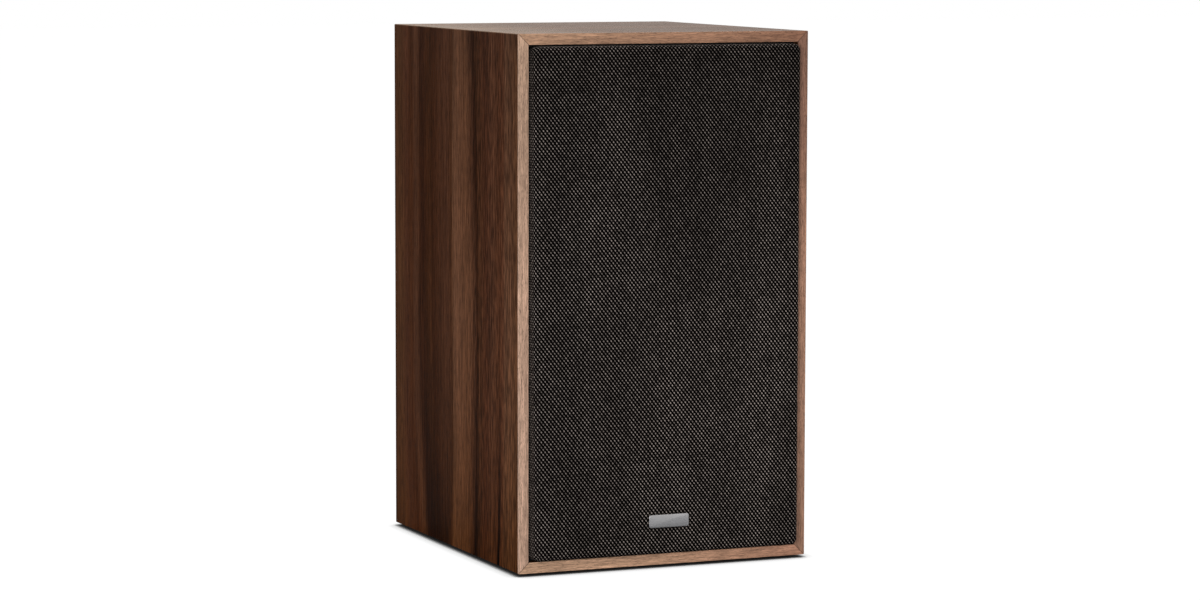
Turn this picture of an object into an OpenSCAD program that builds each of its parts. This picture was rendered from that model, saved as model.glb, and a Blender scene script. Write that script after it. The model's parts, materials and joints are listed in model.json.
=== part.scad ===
// Two-way bookshelf loudspeaker: a veneered cabinet with a pull-off cloth grille, a woofer,
// a dome tweeter, a rear port, a crossover and a pair of binding posts in a recessed cup.
// Millimetres. +Z is up and the front faces -Y. The origin is the middle of the footprint,
// at the level that the pads rest on.

/* [Cabinet] */
// Width over the side panels
cabinet_w = 218; // [215:1:260]
// Height from the bottom panel to the top panel
cabinet_h = 370; // [366:1:440]
// Depth from the front edging to the rear panel
cabinet_d = 244; // [215:1:300]
// Thickness of the four wrap panels
panel_t = 15; // [13:0.5:19]
// Radius of the cabinet's four long edges
edge_r = 0.7; // [0.3:0.1:2]
// Thickness of the front baffle
baffle_t = 18; // [16:0.5:24]
// Thickness of the rear panel
rear_t = 15; // [12:0.5:19]
// Width of the rim left round the baffle and the rear panel
rim_w = 7.5; // [6:0.1:9]
// How far the baffle lies behind the rim
recess_d = 8; // [5:0.5:11]
// Thickness of the front edging strips
edging_t = 1; // [0.6:0.1:2]
// Thickness of the brace between the drivers
brace_t = 12; // [9:0.5:15]
// Width of the wood left round the brace window
brace_frame_w = 30; // [20:1:45]

/* [Pads] */
// Radius of each pad under the cabinet
foot_r = 9; // [6:0.5:14]
// Thickness of each pad
foot_h = 2; // [1.5:0.1:4]
// Distance from the cabinet's side and ends to a pad's centre
foot_inset = 18; // [15:1:30]

/* [Grille] */
// Gap between the grille and the rim
grille_gap = 1.1; // [0.5:0.1:2]
// How far the grille stands out in front of the rim
grille_proud = 8.2; // [5:0.5:12]
// Clearance behind the grille
grille_lift = 0.5; // [0.3:0.1:1]
// Width of the grille frame's members
grille_member_w = 16; // [14:0.5:18]
// Width of the grille frame's crossbar
crossbar_w = 10; // [7:0.5:14]
// Thickness of the crossbar, from its front to its back
crossbar_t = 6; // [4:0.5:7]
// Radius of the grille's four corners, seen from the front
grille_corner_r = 5; // [4:0.5:8]
// Radius of the rounding round the grille's front edge
grille_edge_r = 3; // [2:0.25:4]
// Thickness of the cloth
cloth_t = 0.8; // [0.5:0.1:1.2]
// Radius of the grille's pegs
peg_r = 3.4; // [2.6:0.1:3.8]
// Length of each peg behind the frame
peg_len = 9; // [6:0.5:11]
// Distance from the grille's edges to a peg's centre
peg_inset = 8.8; // [8:0.2:9.4]
// Wall of the rubber sockets that grip the pegs
socket_wall = 1.8; // [1.2:0.1:2]
// Radial clearance of a peg in its socket
peg_slip = 0.08; // [0.04:0.01:0.1]
// Width of the blank badge plate
badge_w = 30; // [20:1:40]
// Height of the badge plate
badge_h = 9; // [6:0.5:14]
// Thickness of the badge plate
badge_t = 1.2; // [0.8:0.1:2]
// Height of the badge plate's middle above the cabinet's bottom
badge_z = 32; // [28:1:45]

/* [Woofer] */
// Outer radius of the woofer's frame
woofer_r = 82.5; // [78:0.5:84]
// Share of the grille window's spare height that lies below the woofer
woofer_low_share = 0.44; // [0.3:0.01:0.5]
// Thickness of the woofer's flange
woofer_flange_t = 4; // [3:0.25:5]
// Depth of the woofer's frame behind the baffle's front
basket_d = 55; // [50:1:65]
// Outer radius at the bottom of the frame
basket_bottom_r = 47; // [44:1:50]
// Radius of the surround's half roll
roll_r = 5; // [4:0.25:5.5]
// Depth of the cone, from its edge to its neck
cone_depth = 26; // [22:1:28]
// Thickness of the cone's paper
cone_t = 1; // [0.6:0.1:1.2]
// Radius of the dust cap
cap_r = 22; // [19:0.5:26]
// Height of the dust cap
cap_h = 7; // [5:0.5:10]
// Outer radius of the voice-coil former
former_r = 16; // [14:0.5:17]
// Thickness of the voice coil's winding
coil_t = 0.9; // [0.5:0.1:1.1]
// Length of the voice coil's winding
coil_len = 12; // [10:0.5:14]
// Thickness of the woofer's top plate
top_plate_t = 6; // [4:0.5:8]
// Thickness of the woofer's magnet
magnet_t = 15; // [14:1:20]
// Outer radius of the woofer's magnet
magnet_r = 50; // [47:1:55]

/* [Tweeter] */
// Outer radius of the tweeter's faceplate
tweeter_r = 52; // [49:0.5:53]
// Share of the grille window's spare height that lies above the tweeter
tweeter_top_share = 0.35; // [0.2:0.01:0.4]
// Thickness of the tweeter's faceplate
tweeter_plate_t = 5; // [4.5:0.25:6]
// Radius of the dome
dome_r = 12.5; // [11:0.25:13]
// Height of the dome
dome_h = 4.2; // [3.5:0.1:4.4]
// Outer radius of the tweeter's magnet
tweeter_magnet_r = 36; // [32:1:37]
// Thickness of the tweeter's magnet
tweeter_magnet_t = 9; // [7:0.5:12]

/* [Port] */
// Radius of the port's bore
port_r = 25; // [20:1:28]
// Length of the port from its rear lip
port_len = 120; // [80:1:135]
// Wall of the port tube
port_wall = 2.4; // [1.8:0.1:3]
// Width of the port's rear lip
port_lip_w = 11; // [9:0.5:14]
// Distance from the cabinet's top to the port's axis
port_drop = 90; // [70:1:94]

/* [Terminal cup] */
// Width of the recess
cup_w = 84; // [76:1:100]
// Height of the recess
cup_h = 50; // [44:1:60]
// Depth of the recess
cup_depth = 29; // [29:1:34]
// Wall of the cup
cup_wall = 2.5; // [2:0.1:3]
// Width of the flange round the recess
cup_flange_w = 13; // [12:0.5:16]
// Thickness of the flange
cup_flange_t = 3; // [2.4:0.1:4]
// Thickness of the foam gasket under the flange
cup_gasket_t = 1; // [0.6:0.1:1.6]
// Height of the cup's middle above the cabinet's bottom
cup_z = 98; // [95:1:110]

/* [Binding posts] */
// Distance between the two posts
post_pitch = 34; // [26:1:40]
// Radius of a post's outer thread
post_r = 4; // [3.6:0.1:4.4]
// Length of a post out from the recess floor
post_len = 22; // [20:0.5:22]
// Radius of the plug socket in a post's end
plug_r = 2.05; // [2.02:0.01:2.15]
// Depth of the plug socket
plug_depth = 14; // [10:0.5:14]
// Radius of a post's knob
knob_r = 8; // [7:0.25:9]
// Radial clearance of a knob on its post, which stands in for the thread
knob_slip = 0.4; // [0.36:0.01:0.48]

/* [Crossover] */
// Width of the circuit board
board_w = 130; // [120:1:150]
// Depth of the circuit board
board_d = 90; // [84:1:100]
// Thickness of the circuit board
board_t = 1.6; // [1.2:0.1:2.4]
// Height of the spacers under the board
spacer_h = 8; // [5:0.5:12]
// Gap between the board and the rear panel
board_back_gap = 38; // [30:1:45]
// Radius of the hook-up wires
wire_r = 1.1; // [0.8:0.1:1.3]

/* [Lining] */
// Thickness of the wadding on the side panels
wadding_t = 18; // [10:1:20]
// Gap round each pad of wadding
wadding_gap = 8; // [4:1:14]

/* [Hidden] */
$fn = 64;
eps = 0.01;
cut = 1;            // how far a cutter runs past a face

// Overall places. The whole speaker is centred on the origin from front to back.
overall_d = badge_t + grille_proud + cabinet_d + cup_gasket_t + cup_flange_t;
y_rim = -overall_d / 2 + badge_t + grille_proud;
y_baffle = y_rim + recess_d;
y_baffle_back = y_baffle + baffle_t;
y_back = y_rim + cabinet_d;
y_rear_in = y_back - rear_t;
z0 = foot_h;
z_mid = z0 + cabinet_h / 2;
z_floor = z0 + panel_t;
z_ceiling = z0 + cabinet_h - panel_t;
inner_w = cabinet_w - 2 * panel_t;
baffle_w = cabinet_w - 2 * rim_w;
baffle_h = cabinet_h - 2 * rim_w;
margin_h = rim_w + grille_gap + cloth_t + grille_member_w;     // outside the grille's window
spare_h = cabinet_h - 2 * (margin_h + woofer_r + tweeter_r);
z_woofer = z0 + margin_h + woofer_low_share * spare_h + woofer_r;
z_tweeter = z0 + cabinet_h - margin_h - tweeter_top_share * spare_h - tweeter_r;
z_port = z0 + cabinet_h - port_drop;
z_cup = z0 + cup_z;
z_brace = (z_woofer + woofer_r + z_tweeter - tweeter_r) / 2;

// Grille
grille_w = baffle_w - 2 * grille_gap;
grille_h = baffle_h - 2 * grille_gap;
grille_t = grille_proud + recess_d - grille_lift;
y_grille_back = y_baffle - grille_lift;
y_grille_front = y_grille_back - grille_t;
y_frame_back = y_grille_back - cloth_t;
frame_w = grille_w - 2 * cloth_t;
frame_h = grille_h - 2 * cloth_t;
frame_t = grille_t - 2 * cloth_t;
window_w = frame_w - 2 * grille_member_w;
peg_x = grille_w / 2 - peg_inset;
peg_z = grille_h / 2 - peg_inset;
peg_root = 5;       // how far a peg goes into the frame
cloth_turn_w = peg_inset - peg_r - 0.4;     // the cloth turned over behind the frame
socket_r = peg_r + peg_slip + socket_wall;
socket_depth = peg_len + 2;

// Woofer, on its own axis: z 0 is the baffle's front and +z points out of the baffle
gasket_t = 1;
woofer_rebate = woofer_flange_t + gasket_t;
woofer_cut_r = woofer_r - 10;
basket_top_r = woofer_cut_r - 1;
basket_wall = 2;
basket_floor_t = 3;
surround_lip = 4.5;
surround_t = 1;
seat_d = 2;         // the surround's seat, below the flange's front
roll_out_r = basket_top_r - basket_wall;
cone_r = roll_out_r - 2 * roll_r;
cone_flat = 4;
neck_h = 3;
z_cone_top = -seat_d;
z_neck = z_cone_top - cone_depth;
neck_r = former_r + 0.6;
spider_t = 0.8;
spider_drop = 8;    // the spider below the cone's neck
z_spider = z_neck - spider_drop;
ledge_t = 2;
ledge_w = 4.5;
coil_gap = 0.9;
former_t = 0.4;
pole_gap = 0.7;
z_plate = -basket_d;
z_coil = z_plate - top_plate_t / 2;
z_magnet = z_plate - top_plate_t;
z_yoke = z_magnet - magnet_t;
yoke_t = 6;
plate_bore_r = former_r + coil_t + coil_gap;
pole_r = former_r - former_t - pole_gap;
pole_vent_r = 5;
woofer_screws_n = 6;
woofer_screw_pcd = woofer_r - 5;
screw_r = 1.9;
screw_hole_r = 2.1;
screw_len = 20;
screw_head_r = 3.6;
screw_head_h = 2.2;
legs_n = 6;
leg_w = 16;
tag_y = 17;
tag_board_t = 1.6;
tag_strip_w = 6;
tag_w = 4;
tag_t = 0.8;
tag_below = 6;
tag_above = 3;
tag_x = basket_r(z_spider) + 1;

// Tweeter, on its own axis as the woofer is
tweeter_rebate = tweeter_plate_t + gasket_t;
tweeter_cut_r = tweeter_magnet_r + 2;
tweeter_screws_n = 4;
tweeter_screw_pcd = tweeter_r - 6.5;
throat_r = dome_r + 4;
horn_r = throat_r + 14;
ring_t = 0.8;
tweeter_top_t = 4;
tweeter_coil_t = 0.6;
tweeter_bore_r = dome_r + 0.9;
tweeter_pole_r = dome_r - 0.9;
tweeter_top_r = tweeter_magnet_r - 4;
z_t_top = -tweeter_plate_t;
z_t_magnet = z_t_top - tweeter_top_t;
z_t_yoke = z_t_magnet - tweeter_magnet_t;
tweeter_yoke_t = 5;
tweeter_lug_z = z_t_yoke + tweeter_magnet_t / 2;

// Port
port_out_r = port_r + port_wall;
port_lip_t = 3;
port_flare_r = 8;

// Cup and posts: a post's own z 0 is the recess floor and +z points out of the back
y_cup_face = y_back + cup_gasket_t + cup_flange_t;
y_cup_floor = y_cup_face - cup_depth;
cup_floor_t = 3;
cup_corner_r = 8;
cup_slip = 0.5;
cup_screw_r = 1.6;
cup_screw_hole_r = 1.8;
cup_screw_head_r = 3.2;
cup_screw_len = 14;
shoulder_r = 6.5;
shoulder_t = 2;
stem_r = 3;
stem_len = 14;
stem_slip = 0.05;
lug_t = 0.8;
nut_t = 4;
nut_r = 5.6;
collar_t = 2;
collar_r = knob_r - 0.5;
stack_gap = 0.1;
knob_z = shoulder_t + collar_t + 2 * stack_gap;
knob_len = post_len - knob_z;
flute_r = 0.9;
flutes_n = 12;
wire_hole_r = 1.2;

// Crossover
y_board = y_rear_in - board_back_gap - board_d / 2;
z_board = z_floor + spacer_h;
z_board_top = z_board + board_t;
spacer_r = 3.5;
spacer_inset = 7;
board_screw_r = 1.4;
board_hole_r = 1.6;
board_screw_bite = 9;
low_coil = [22, 10, 18];        // outer radius, inner radius and length
high_coil = [13, 6, 12];
// Each capacitor's place in shares of the board, its radius and its length
capacitors = [[[-0.185, -0.3], 11, 42], [[0.185, -0.3], 9, 34], [[0.354, 0.044], 7, 26]];
lead_r = 1;
lead_len = 4;
resistor_len = 28;
resistor_w = 9;

// ---------------------------------------------------------------- helpers

// Points on an arc about (cx, cy), n steps from angle a0 to a1
function arc(cx, cy, r, a0, a1, n = 6) =
  [for (i = [0:n]) let (a = a0 + (a1 - a0) * i / n) [cx + r * cos(a), cy + r * sin(a)]];

// Outline of a rounded rectangle about the origin
function round_rect(w, h, r) = concat(
  arc(w / 2 - r, h / 2 - r, r, 0, 90), arc(r - w / 2, h / 2 - r, r, 90, 180),
  arc(r - w / 2, r - h / 2, r, 180, 270), arc(w / 2 - r, r - h / 2, r, 270, 360));

// Outer radius of the woofer's frame at depth z
function basket_r(z) = basket_top_r
  + (basket_bottom_r - basket_top_r) * (-z - woofer_flange_t) / (basket_d - woofer_flange_t);

// Inner radius of the woofer's frame at depth z
function basket_in_r(z) = roll_out_r + (basket_bottom_r - basket_wall - roll_out_r)
  * (-z - woofer_flange_t) / (basket_d - basket_floor_t - woofer_flange_t);

// Front surface of the cone at radius r
function cone_z(r) = z_cone_top - cone_depth * (cone_r - cone_flat - r)
  / (cone_r - cone_flat - neck_r);

// Radius of the sphere whose cap has base radius b and height h
function cap_sphere(b, h) = (b * b + h * h) / (2 * h);

// Outline of half a domed shell, base radius b and height h, with its base at z.
// The points in foot come between its outside and its inside.
function dome_outline(b, h, t, z, foot = [], n = 10) =
  let (s = cap_sphere(b, h), a = asin(b / s), ai = asin((b - t) / (s - t)))
  concat([for (i = [0:n]) [s * sin(a * i / n), z + h - s + s * cos(a * i / n)]], foot,
    [for (i = [n:-1:0]) [(s - t) * sin(ai * i / n), z + h - s + (s - t) * cos(ai * i / n)]]);

// A flat plate in the XZ plane, t thick, with its front at y 0
module plate(w, h, t, r) {
  translate([0, t, 0]) rotate([90, 0, 0]) linear_extrude(t) polygon(round_rect(w, h, r));
}

// A block in the XZ plane, with its back at y 0 and its front edge rounded
module soft_block(w, h, t, corner_r, edge_r, steps = 5) {
  // Each level is an inset and a y
  levels = concat([[0, 0]], [for (i = [0:steps]) let (a = 90 * i / steps)
    [edge_r * (1 - cos(a)), edge_r * (1 - sin(a)) - t]]);
  loops = [for (l = levels)
    [for (p = round_rect(w - 2 * l[0], h - 2 * l[0], corner_r - l[0])) [p[0], l[1], p[1]]]];
  n = len(loops[0]);
  last = (len(loops) - 1) * n;
  walls = [for (i = [0:len(loops) - 2], k = [0:n - 1], half = [0, 1])
    let (a = i * n + k, b = i * n + (k + 1) % n) half ? [a, a + n, b + n] : [a, b + n, b]];
  polyhedron([for (l = loops, p = l) p],
    concat(walls, [[for (k = [0:n - 1]) k]], [[for (k = [n - 1:-1:0]) last + k]]));
}

// A ring between two radii and two heights
module ring(r1, r2, z1, z2) {
  translate([0, 0, z1]) difference() {
    cylinder(r = r2, h = z2 - z1);
    translate([0, 0, -cut]) cylinder(r = r1, h = z2 - z1 + 2 * cut);
  }
}

// A round hole or peg between two heights
module rod(r, z1, z2) { translate([0, 0, z1]) cylinder(r = r, h = z2 - z1); }

// Copies of the children, n of them evenly round the axis at radius r
module around(n, r, first = 0) {
  for (i = [0:n - 1]) rotate([0, 0, first + 360 * i / n]) translate([r, 0, 0]) children();
}

// A pan-head screw with a hexagon socket, its head on z 0
module pan_screw(r, len, head_r, head_h) {
  difference() {
    union() { rod(r, -len, eps); rod(head_r, 0, head_h); }
    translate([0, 0, head_h / 3]) cylinder(r = head_r * 0.45, h = head_h, $fn = 6);
  }
}

module at_woofer() { translate([0, y_baffle, z_woofer]) rotate([90, 0, 0]) children(); }
module at_tweeter() { translate([0, y_baffle, z_tweeter]) rotate([90, 0, 0]) children(); }
module at_port() { translate([0, y_back, z_port]) rotate([-90, 0, 0]) children(); }
module at_post(side) {
  translate([side * post_pitch / 2, y_cup_floor, z_cup]) rotate([-90, 0, 0]) children();
}
module at_pegs() {
  for (sx = [-1, 1], sz = [-1, 1])
    translate([sx * peg_x, y_frame_back, z_mid + sz * peg_z]) rotate([-90, 0, 0]) children();
}
module at_feet() {
  for (sx = [-1, 1], sy = [0, 1])
    translate([sx * (cabinet_w / 2 - foot_inset),
      sy ? y_back - foot_inset : y_rim + foot_inset, 0]) children();
}
module at_board_screws() {
  for (sx = [-1, 1], sy = [-1, 1])
    translate([sx * (board_w / 2 - spacer_inset), y_board + sy * (board_d / 2 - spacer_inset), 0])
      children();
}
module at_cup_screws() {
  for (sx = [-1, 1], sz = [-1, 1])
    translate([sx * (cup_w + cup_flange_w) / 2, y_cup_face, z_cup + sz * (cup_h + cup_flange_w) / 2])
      rotate([-90, 0, 0]) children();
}

// ---------------------------------------------------------------- hook-up wire

function catmull(a, b, c, d, t) = 0.5 * (2 * b + (c - a) * t
  + (2 * a - 5 * b + 4 * c - d) * t * t + (3 * b - a - 3 * c + d) * t * t * t);
function smooth_path(p, n) = concat([for (i = [0:len(p) - 2], k = [0:n - 1])
  catmull(p[max(i - 1, 0)], p[i], p[i + 1], p[min(i + 2, len(p) - 1)], k / n)], [p[len(p) - 1]]);
function unit(v) = v / norm(v);
// Direction of a path at point i
function heading(p, i) = unit(p[min(i + 1, len(p) - 1)] - p[max(i - 1, 0)]);

// A round tube along a path that never runs along X
module tube(route, r, steps = 5, sides = 8) {
  p = smooth_path(route, steps);
  n = len(p);
  rings = [for (i = [0:n - 1]) let (t = heading(p, i), u = unit(cross(t, [1, 0, 0])),
    v = cross(t, u)) for (k = [0:sides - 1])
      p[i] + r * (cos(360 * k / sides) * u + sin(360 * k / sides) * v)];
  walls = [for (i = [0:n - 2], k = [0:sides - 1], half = [0, 1])
    let (a = i * sides + k, b = i * sides + (k + 1) % sides)
      half ? [a, a + sides, b + sides] : [a, b + sides, b]];
  polyhedron(rings, concat(walls, [[for (k = [0:sides - 1]) k]],
    [[for (k = [sides - 1:-1:0]) (n - 1) * sides + k]]));
}

// ---------------------------------------------------------------- cabinet

// The space that the baffle, the recess and the rear panel take inside the rim
module rebate_block() {
  for (y = [[y_rim - cut, y_baffle_back], [y_rear_in, y_back + cut]])
    translate([-baffle_w / 2, y[0], z0 + rim_w]) cube([baffle_w, y[1] - y[0], baffle_h]);
}

// A mitred length of the wrap: len along the outside and t thick, from y1 to y2.
// Each end has its half of the rounding of the cabinet's edge.
module mitred(len, t, y1, y2) {
  x = len / 2 - edge_r;
  translate([0, y2, 0]) rotate([90, 0, 0]) linear_extrude(y2 - y1)
    polygon(concat([[t - len / 2, -t]], arc(-x, -edge_r, edge_r, 135, 90, 3),
      arc(x, -edge_r, edge_r, 90, 45, 3), [[len / 2 - t, -t]]));
}

// Sets a mitred length on the cabinet's left, right, top or bottom
module on_side(turn) {
  reach = abs(turn) == 90 ? cabinet_w / 2 : cabinet_h / 2;
  translate([0, 0, z_mid]) rotate([0, turn, 0]) translate([0, 0, reach]) children();
}
module wrap_panel(turn, len) {
  color("saddlebrown") difference() {
    on_side(turn) mitred(len, panel_t, y_rim + edging_t, y_back);
    rebate_block();
  }
}
module edging(turn, len) {
  color("tan") on_side(turn) mitred(len, rim_w, y_rim, y_rim + edging_t);
}
module left_side_panel() { wrap_panel(-90, cabinet_h); }
module right_side_panel() { wrap_panel(90, cabinet_h); }
module top_panel() { wrap_panel(0, cabinet_w); }
module bottom_panel() {
  difference() {
    wrap_panel(180, cabinet_w);
    at_board_screws() rod(board_screw_r, z_floor - board_screw_bite - cut, z_floor + cut);
  }
}
module front_edging_left() { edging(-90, cabinet_h); }
module front_edging_right() { edging(90, cabinet_h); }
module front_edging_top() { edging(0, cabinet_w); }
module front_edging_bottom() { edging(180, cabinet_w); }

module rear_panel() {
  color("dimgray") difference() {
    translate([-baffle_w / 2, y_rear_in, z0 + rim_w]) cube([baffle_w, rear_t, baffle_h]);
    at_port() rod(port_out_r, -rear_t - cut, cut);
    translate([0, y_rear_in - cut, z_cup])
      plate(cup_w + 2 * (cup_wall + cup_slip), cup_h + 2 * (cup_wall + cup_slip),
        rear_t + 2 * cut, cup_corner_r + cup_wall);
    at_cup_screws() rod(cup_screw_r, -cup_screw_len - cut, cut);
  }
}

module front_baffle() {
  color("black") difference() {
    translate([-baffle_w / 2, y_baffle, z0 + rim_w]) cube([baffle_w, baffle_t, baffle_h]);
    at_woofer() {
      rod(woofer_cut_r, -baffle_t - cut, cut);
      rod(woofer_r + 0.5, -woofer_rebate, cut);
      around(woofer_screws_n, woofer_screw_pcd, 30) rod(screw_r, -baffle_t - cut, cut);
    }
    at_tweeter() {
      rod(tweeter_cut_r, -baffle_t - cut, cut);
      rod(tweeter_r + 0.5, -tweeter_rebate, cut);
      around(tweeter_screws_n, tweeter_screw_pcd, 45) rod(screw_r, -baffle_t - cut, cut);
    }
    at_pegs() rod(socket_r, 0, cloth_t + grille_lift + socket_depth);
  }
}

module brace_panel() {
  depth = y_rear_in - y_baffle_back;
  color("tan") difference() {
    translate([-inner_w / 2, y_baffle_back, z_brace - brace_t / 2]) cube([inner_w, depth, brace_t]);
    translate([0, (y_rear_in + y_baffle_back) / 2, z_brace - brace_t])
      linear_extrude(2 * brace_t)
        polygon(round_rect(inner_w - 2 * brace_frame_w, depth - 2 * brace_frame_w, 12));
  }
}

module rubber_feet() { color("dimgray") at_feet() rod(foot_r, 0, foot_h); }

// ---------------------------------------------------------------- grille

module frame_block() {
  translate([0, y_frame_back, z_mid]) soft_block(frame_w, frame_h, frame_t,
    grille_corner_r - cloth_t, grille_edge_r - cloth_t);
}

// The two openings of the grille frame, with the crossbar between them
module frame_windows() {
  z_low = z_mid - frame_h / 2 + grille_member_w;
  z_high = z_mid + frame_h / 2 - grille_member_w;
  for (z = [[z_low, z_brace - crossbar_w / 2], [z_brace + crossbar_w / 2, z_high]])
    translate([0, y_frame_back - frame_t - cut, (z[0] + z[1]) / 2])
      plate(window_w, z[1] - z[0], frame_t + 2 * cut, 4);
}

module grille_frame() {
  color("dimgray") difference() {
    frame_block();
    frame_windows();
    translate([-window_w / 2, y_frame_back - frame_t + crossbar_t, z_brace - crossbar_w])
      cube([window_w, frame_t, 2 * crossbar_w]);
    at_pegs() rod(peg_r, -peg_root, cut);
  }
}

module grille_cloth() {
  color("#3a3a3a") difference() {
    translate([0, y_grille_back, z_mid])
      soft_block(grille_w, grille_h, grille_t, grille_corner_r, grille_edge_r);
    frame_block();
    translate([0, y_frame_back - cut, z_mid])
      plate(grille_w - 2 * cloth_turn_w, grille_h - 2 * cloth_turn_w, cloth_t + 2 * cut, 2);
  }
}

module grille_pegs() {
  color("black") at_pegs() {
    rod(peg_r, -peg_root, cloth_t + grille_lift + peg_len - 1);
    translate([0, 0, cloth_t + grille_lift + peg_len - 1]) cylinder(r1 = peg_r, r2 = peg_r - 1, h = 1);
  }
}

module grille_sockets() {
  color("dimgray") at_pegs() translate([0, 0, cloth_t + grille_lift]) difference() {
    rod(socket_r, 0, socket_depth);
    rod(peg_r + peg_slip, -cut, socket_depth - 1);
  }
}

module badge_plate() {
  color("silver") translate([0, y_grille_front - badge_t, z0 + badge_z])
    plate(badge_w, badge_h, badge_t, 1.5);
}

// ---------------------------------------------------------------- woofer

module woofer_basket() {
  seat_r = roll_out_r + surround_lip;
  window_top = -woofer_flange_t - 5;
  window_low = -basket_d + basket_floor_t + 4;
  leg_gap = 2 * basket_bottom_r * sin(180 / legs_n) - leg_w;
  color("dimgray") at_woofer() difference() {
    union() {
      difference() {
        rotate_extrude() polygon([
          [woofer_r, 0], [seat_r, 0], [seat_r, -seat_d], [roll_out_r, -seat_d],
          [roll_out_r, -woofer_flange_t],
          [basket_bottom_r - basket_wall, -basket_d + basket_floor_t],
          [plate_bore_r + 3, -basket_d + basket_floor_t], [plate_bore_r + 3, -basket_d],
          [basket_bottom_r, -basket_d], [basket_top_r, -woofer_flange_t],
          [woofer_r, -woofer_flange_t]]);
        around(legs_n, 0, 180 / legs_n)
          translate([basket_bottom_r / 2, -leg_gap / 2, window_low])
            cube([woofer_r, leg_gap, window_top - window_low]);
      }
      ring(basket_in_r(z_spider) - ledge_w, basket_r(z_spider - ledge_t) - 0.4,
        z_spider - ledge_t, z_spider);
      translate([tag_x - 4, -leg_w / 2, z_spider - ledge_t]) cube([11, leg_w, ledge_t]);
    }
    around(woofer_screws_n, woofer_screw_pcd, 30) rod(screw_hole_r, -woofer_flange_t - cut, cut);
  }
}

module woofer_gasket() {
  color("black") at_woofer() difference() {
    ring(woofer_cut_r, woofer_r - 0.5, -woofer_rebate, -woofer_flange_t);
    around(woofer_screws_n, woofer_screw_pcd, 30) rod(screw_hole_r, -baffle_t, 0);
  }
}

module woofer_screws() {
  color("silver") at_woofer() around(woofer_screws_n, woofer_screw_pcd, 30)
    pan_screw(screw_r, min(screw_len, baffle_t - 1), screw_head_r, screw_head_h);
}

module woofer_top_plate() {
  color("silver") at_woofer() ring(plate_bore_r, basket_bottom_r - 2, z_magnet, z_plate);
}

module woofer_magnet() {
  color("dimgray") at_woofer() ring(plate_bore_r + 6, magnet_r, z_yoke, z_magnet);
}

module woofer_yoke() {
  color("silver") at_woofer() difference() {
    union() {
      rod(basket_bottom_r - 2, z_yoke - yoke_t, z_yoke);
      rod(pole_r, z_yoke - cut, z_plate);
    }
    rod(pole_vent_r, z_yoke - yoke_t - cut, z_plate + cut);
  }
}

// A fibre strip with two tags, on the ledge of the frame's leg
module woofer_terminals() {
  z_strip = z_spider - ledge_t - tag_board_t;
  color("goldenrod") at_woofer() union() {
    translate([tag_x + 1, -tag_y - tag_w, z_strip])
      cube([tag_strip_w, 2 * (tag_y + tag_w), tag_board_t]);
    for (s = [-1, 1])
      translate([tag_x + tag_strip_w / 2, s * tag_y - tag_w / 2, z_strip - tag_below])
        cube([tag_t, tag_w, tag_below + tag_board_t + tag_above]);
  }
}

module woofer_surround() {
  mid = roll_out_r - roll_r;
  z_in = z_cone_top;
  t = surround_t;
  color("#222222") at_woofer() rotate_extrude() polygon(concat(
    [[roll_out_r + surround_lip, z_in], [roll_out_r + surround_lip, z_in + t]],
    arc(mid, z_in + t, roll_r, 0, 180, 10),
    [[cone_r - cone_flat, z_in + t], [cone_r - cone_flat, z_in]],
    arc(mid, z_in, roll_r, 180, 0, 10)));
}

// A corrugated disc between the former and the frame's ledge
module woofer_spider() {
  r_out = basket_in_r(z_spider) - 0.2;
  waves = 7;
  flat = 4;
  span = (r_out - flat - former_r - flat) / waves;
  wave = [for (i = [0:2 * waves]) [former_r + flat + span * i / 2, z_spider + (i % 2)]];
  path = concat([[former_r, z_spider]], wave, [[r_out, z_spider]]);
  color("#b8863b") at_woofer() rotate_extrude() polygon(concat(path,
    [for (i = [len(path) - 1:-1:0]) path[i] + [0, spider_t]]));
}

// Two flexible leads from the tags to the back of the cone
module woofer_tinsel_leads() {
  start_x = tag_x + 3.4;
  z_tag = z_spider - ledge_t + 3;
  r_end = 34;
  color("orange") at_woofer() for (s = [-1, 1])
    tube([[start_x, s * tag_y, z_tag], [start_x, s * tag_y, z_tag + 3],
      [start_x - 5, s * (tag_y - 1), z_tag + 8], [r_end + 8, s * (tag_y - 4), z_tag + 8],
      [r_end, s * (tag_y - 7), cone_z(r_end) - cone_t - 1.2]], 0.7, 4);
}

module woofer_cone() {
  color("#333333") at_woofer() rotate_extrude() polygon([
    [cone_r, z_cone_top], [cone_r - cone_flat, z_cone_top], [neck_r, z_neck],
    [former_r, z_neck], [former_r, z_neck - neck_h], [neck_r + cone_t, z_neck - neck_h],
    [neck_r + cone_t, z_neck - cone_t], [cone_r - cone_flat, z_cone_top - cone_t],
    [cone_r, z_cone_top - cone_t]]);
}

module woofer_dust_cap() {
  color("#222222") at_woofer() rotate_extrude()
    polygon(dome_outline(cap_r, cap_h, cone_t, cone_z(cap_r),
      foot = [[cap_r - cone_t, cone_z(cap_r - cone_t)]]));
}

module woofer_former() {
  color("silver") at_woofer()
    ring(former_r - former_t, former_r, z_coil - coil_len / 2, z_neck + 1);
}

module woofer_voice_coil() {
  color("chocolate") at_woofer()
    ring(former_r, former_r + coil_t, z_coil - coil_len / 2, z_coil + coil_len / 2);
}

// ---------------------------------------------------------------- tweeter

module tweeter_faceplate() {
  color("#1c1c1c") at_tweeter() difference() {
    rod(tweeter_r, -tweeter_plate_t, 0);
    rod(throat_r, -tweeter_plate_t - cut, cut);
    translate([0, 0, -tweeter_plate_t + 1.5])
      cylinder(r1 = throat_r, r2 = horn_r, h = tweeter_plate_t - 1.5 + eps);
    around(tweeter_screws_n, tweeter_screw_pcd, 45) rod(screw_hole_r, -tweeter_plate_t - cut, cut);
  }
}

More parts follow.
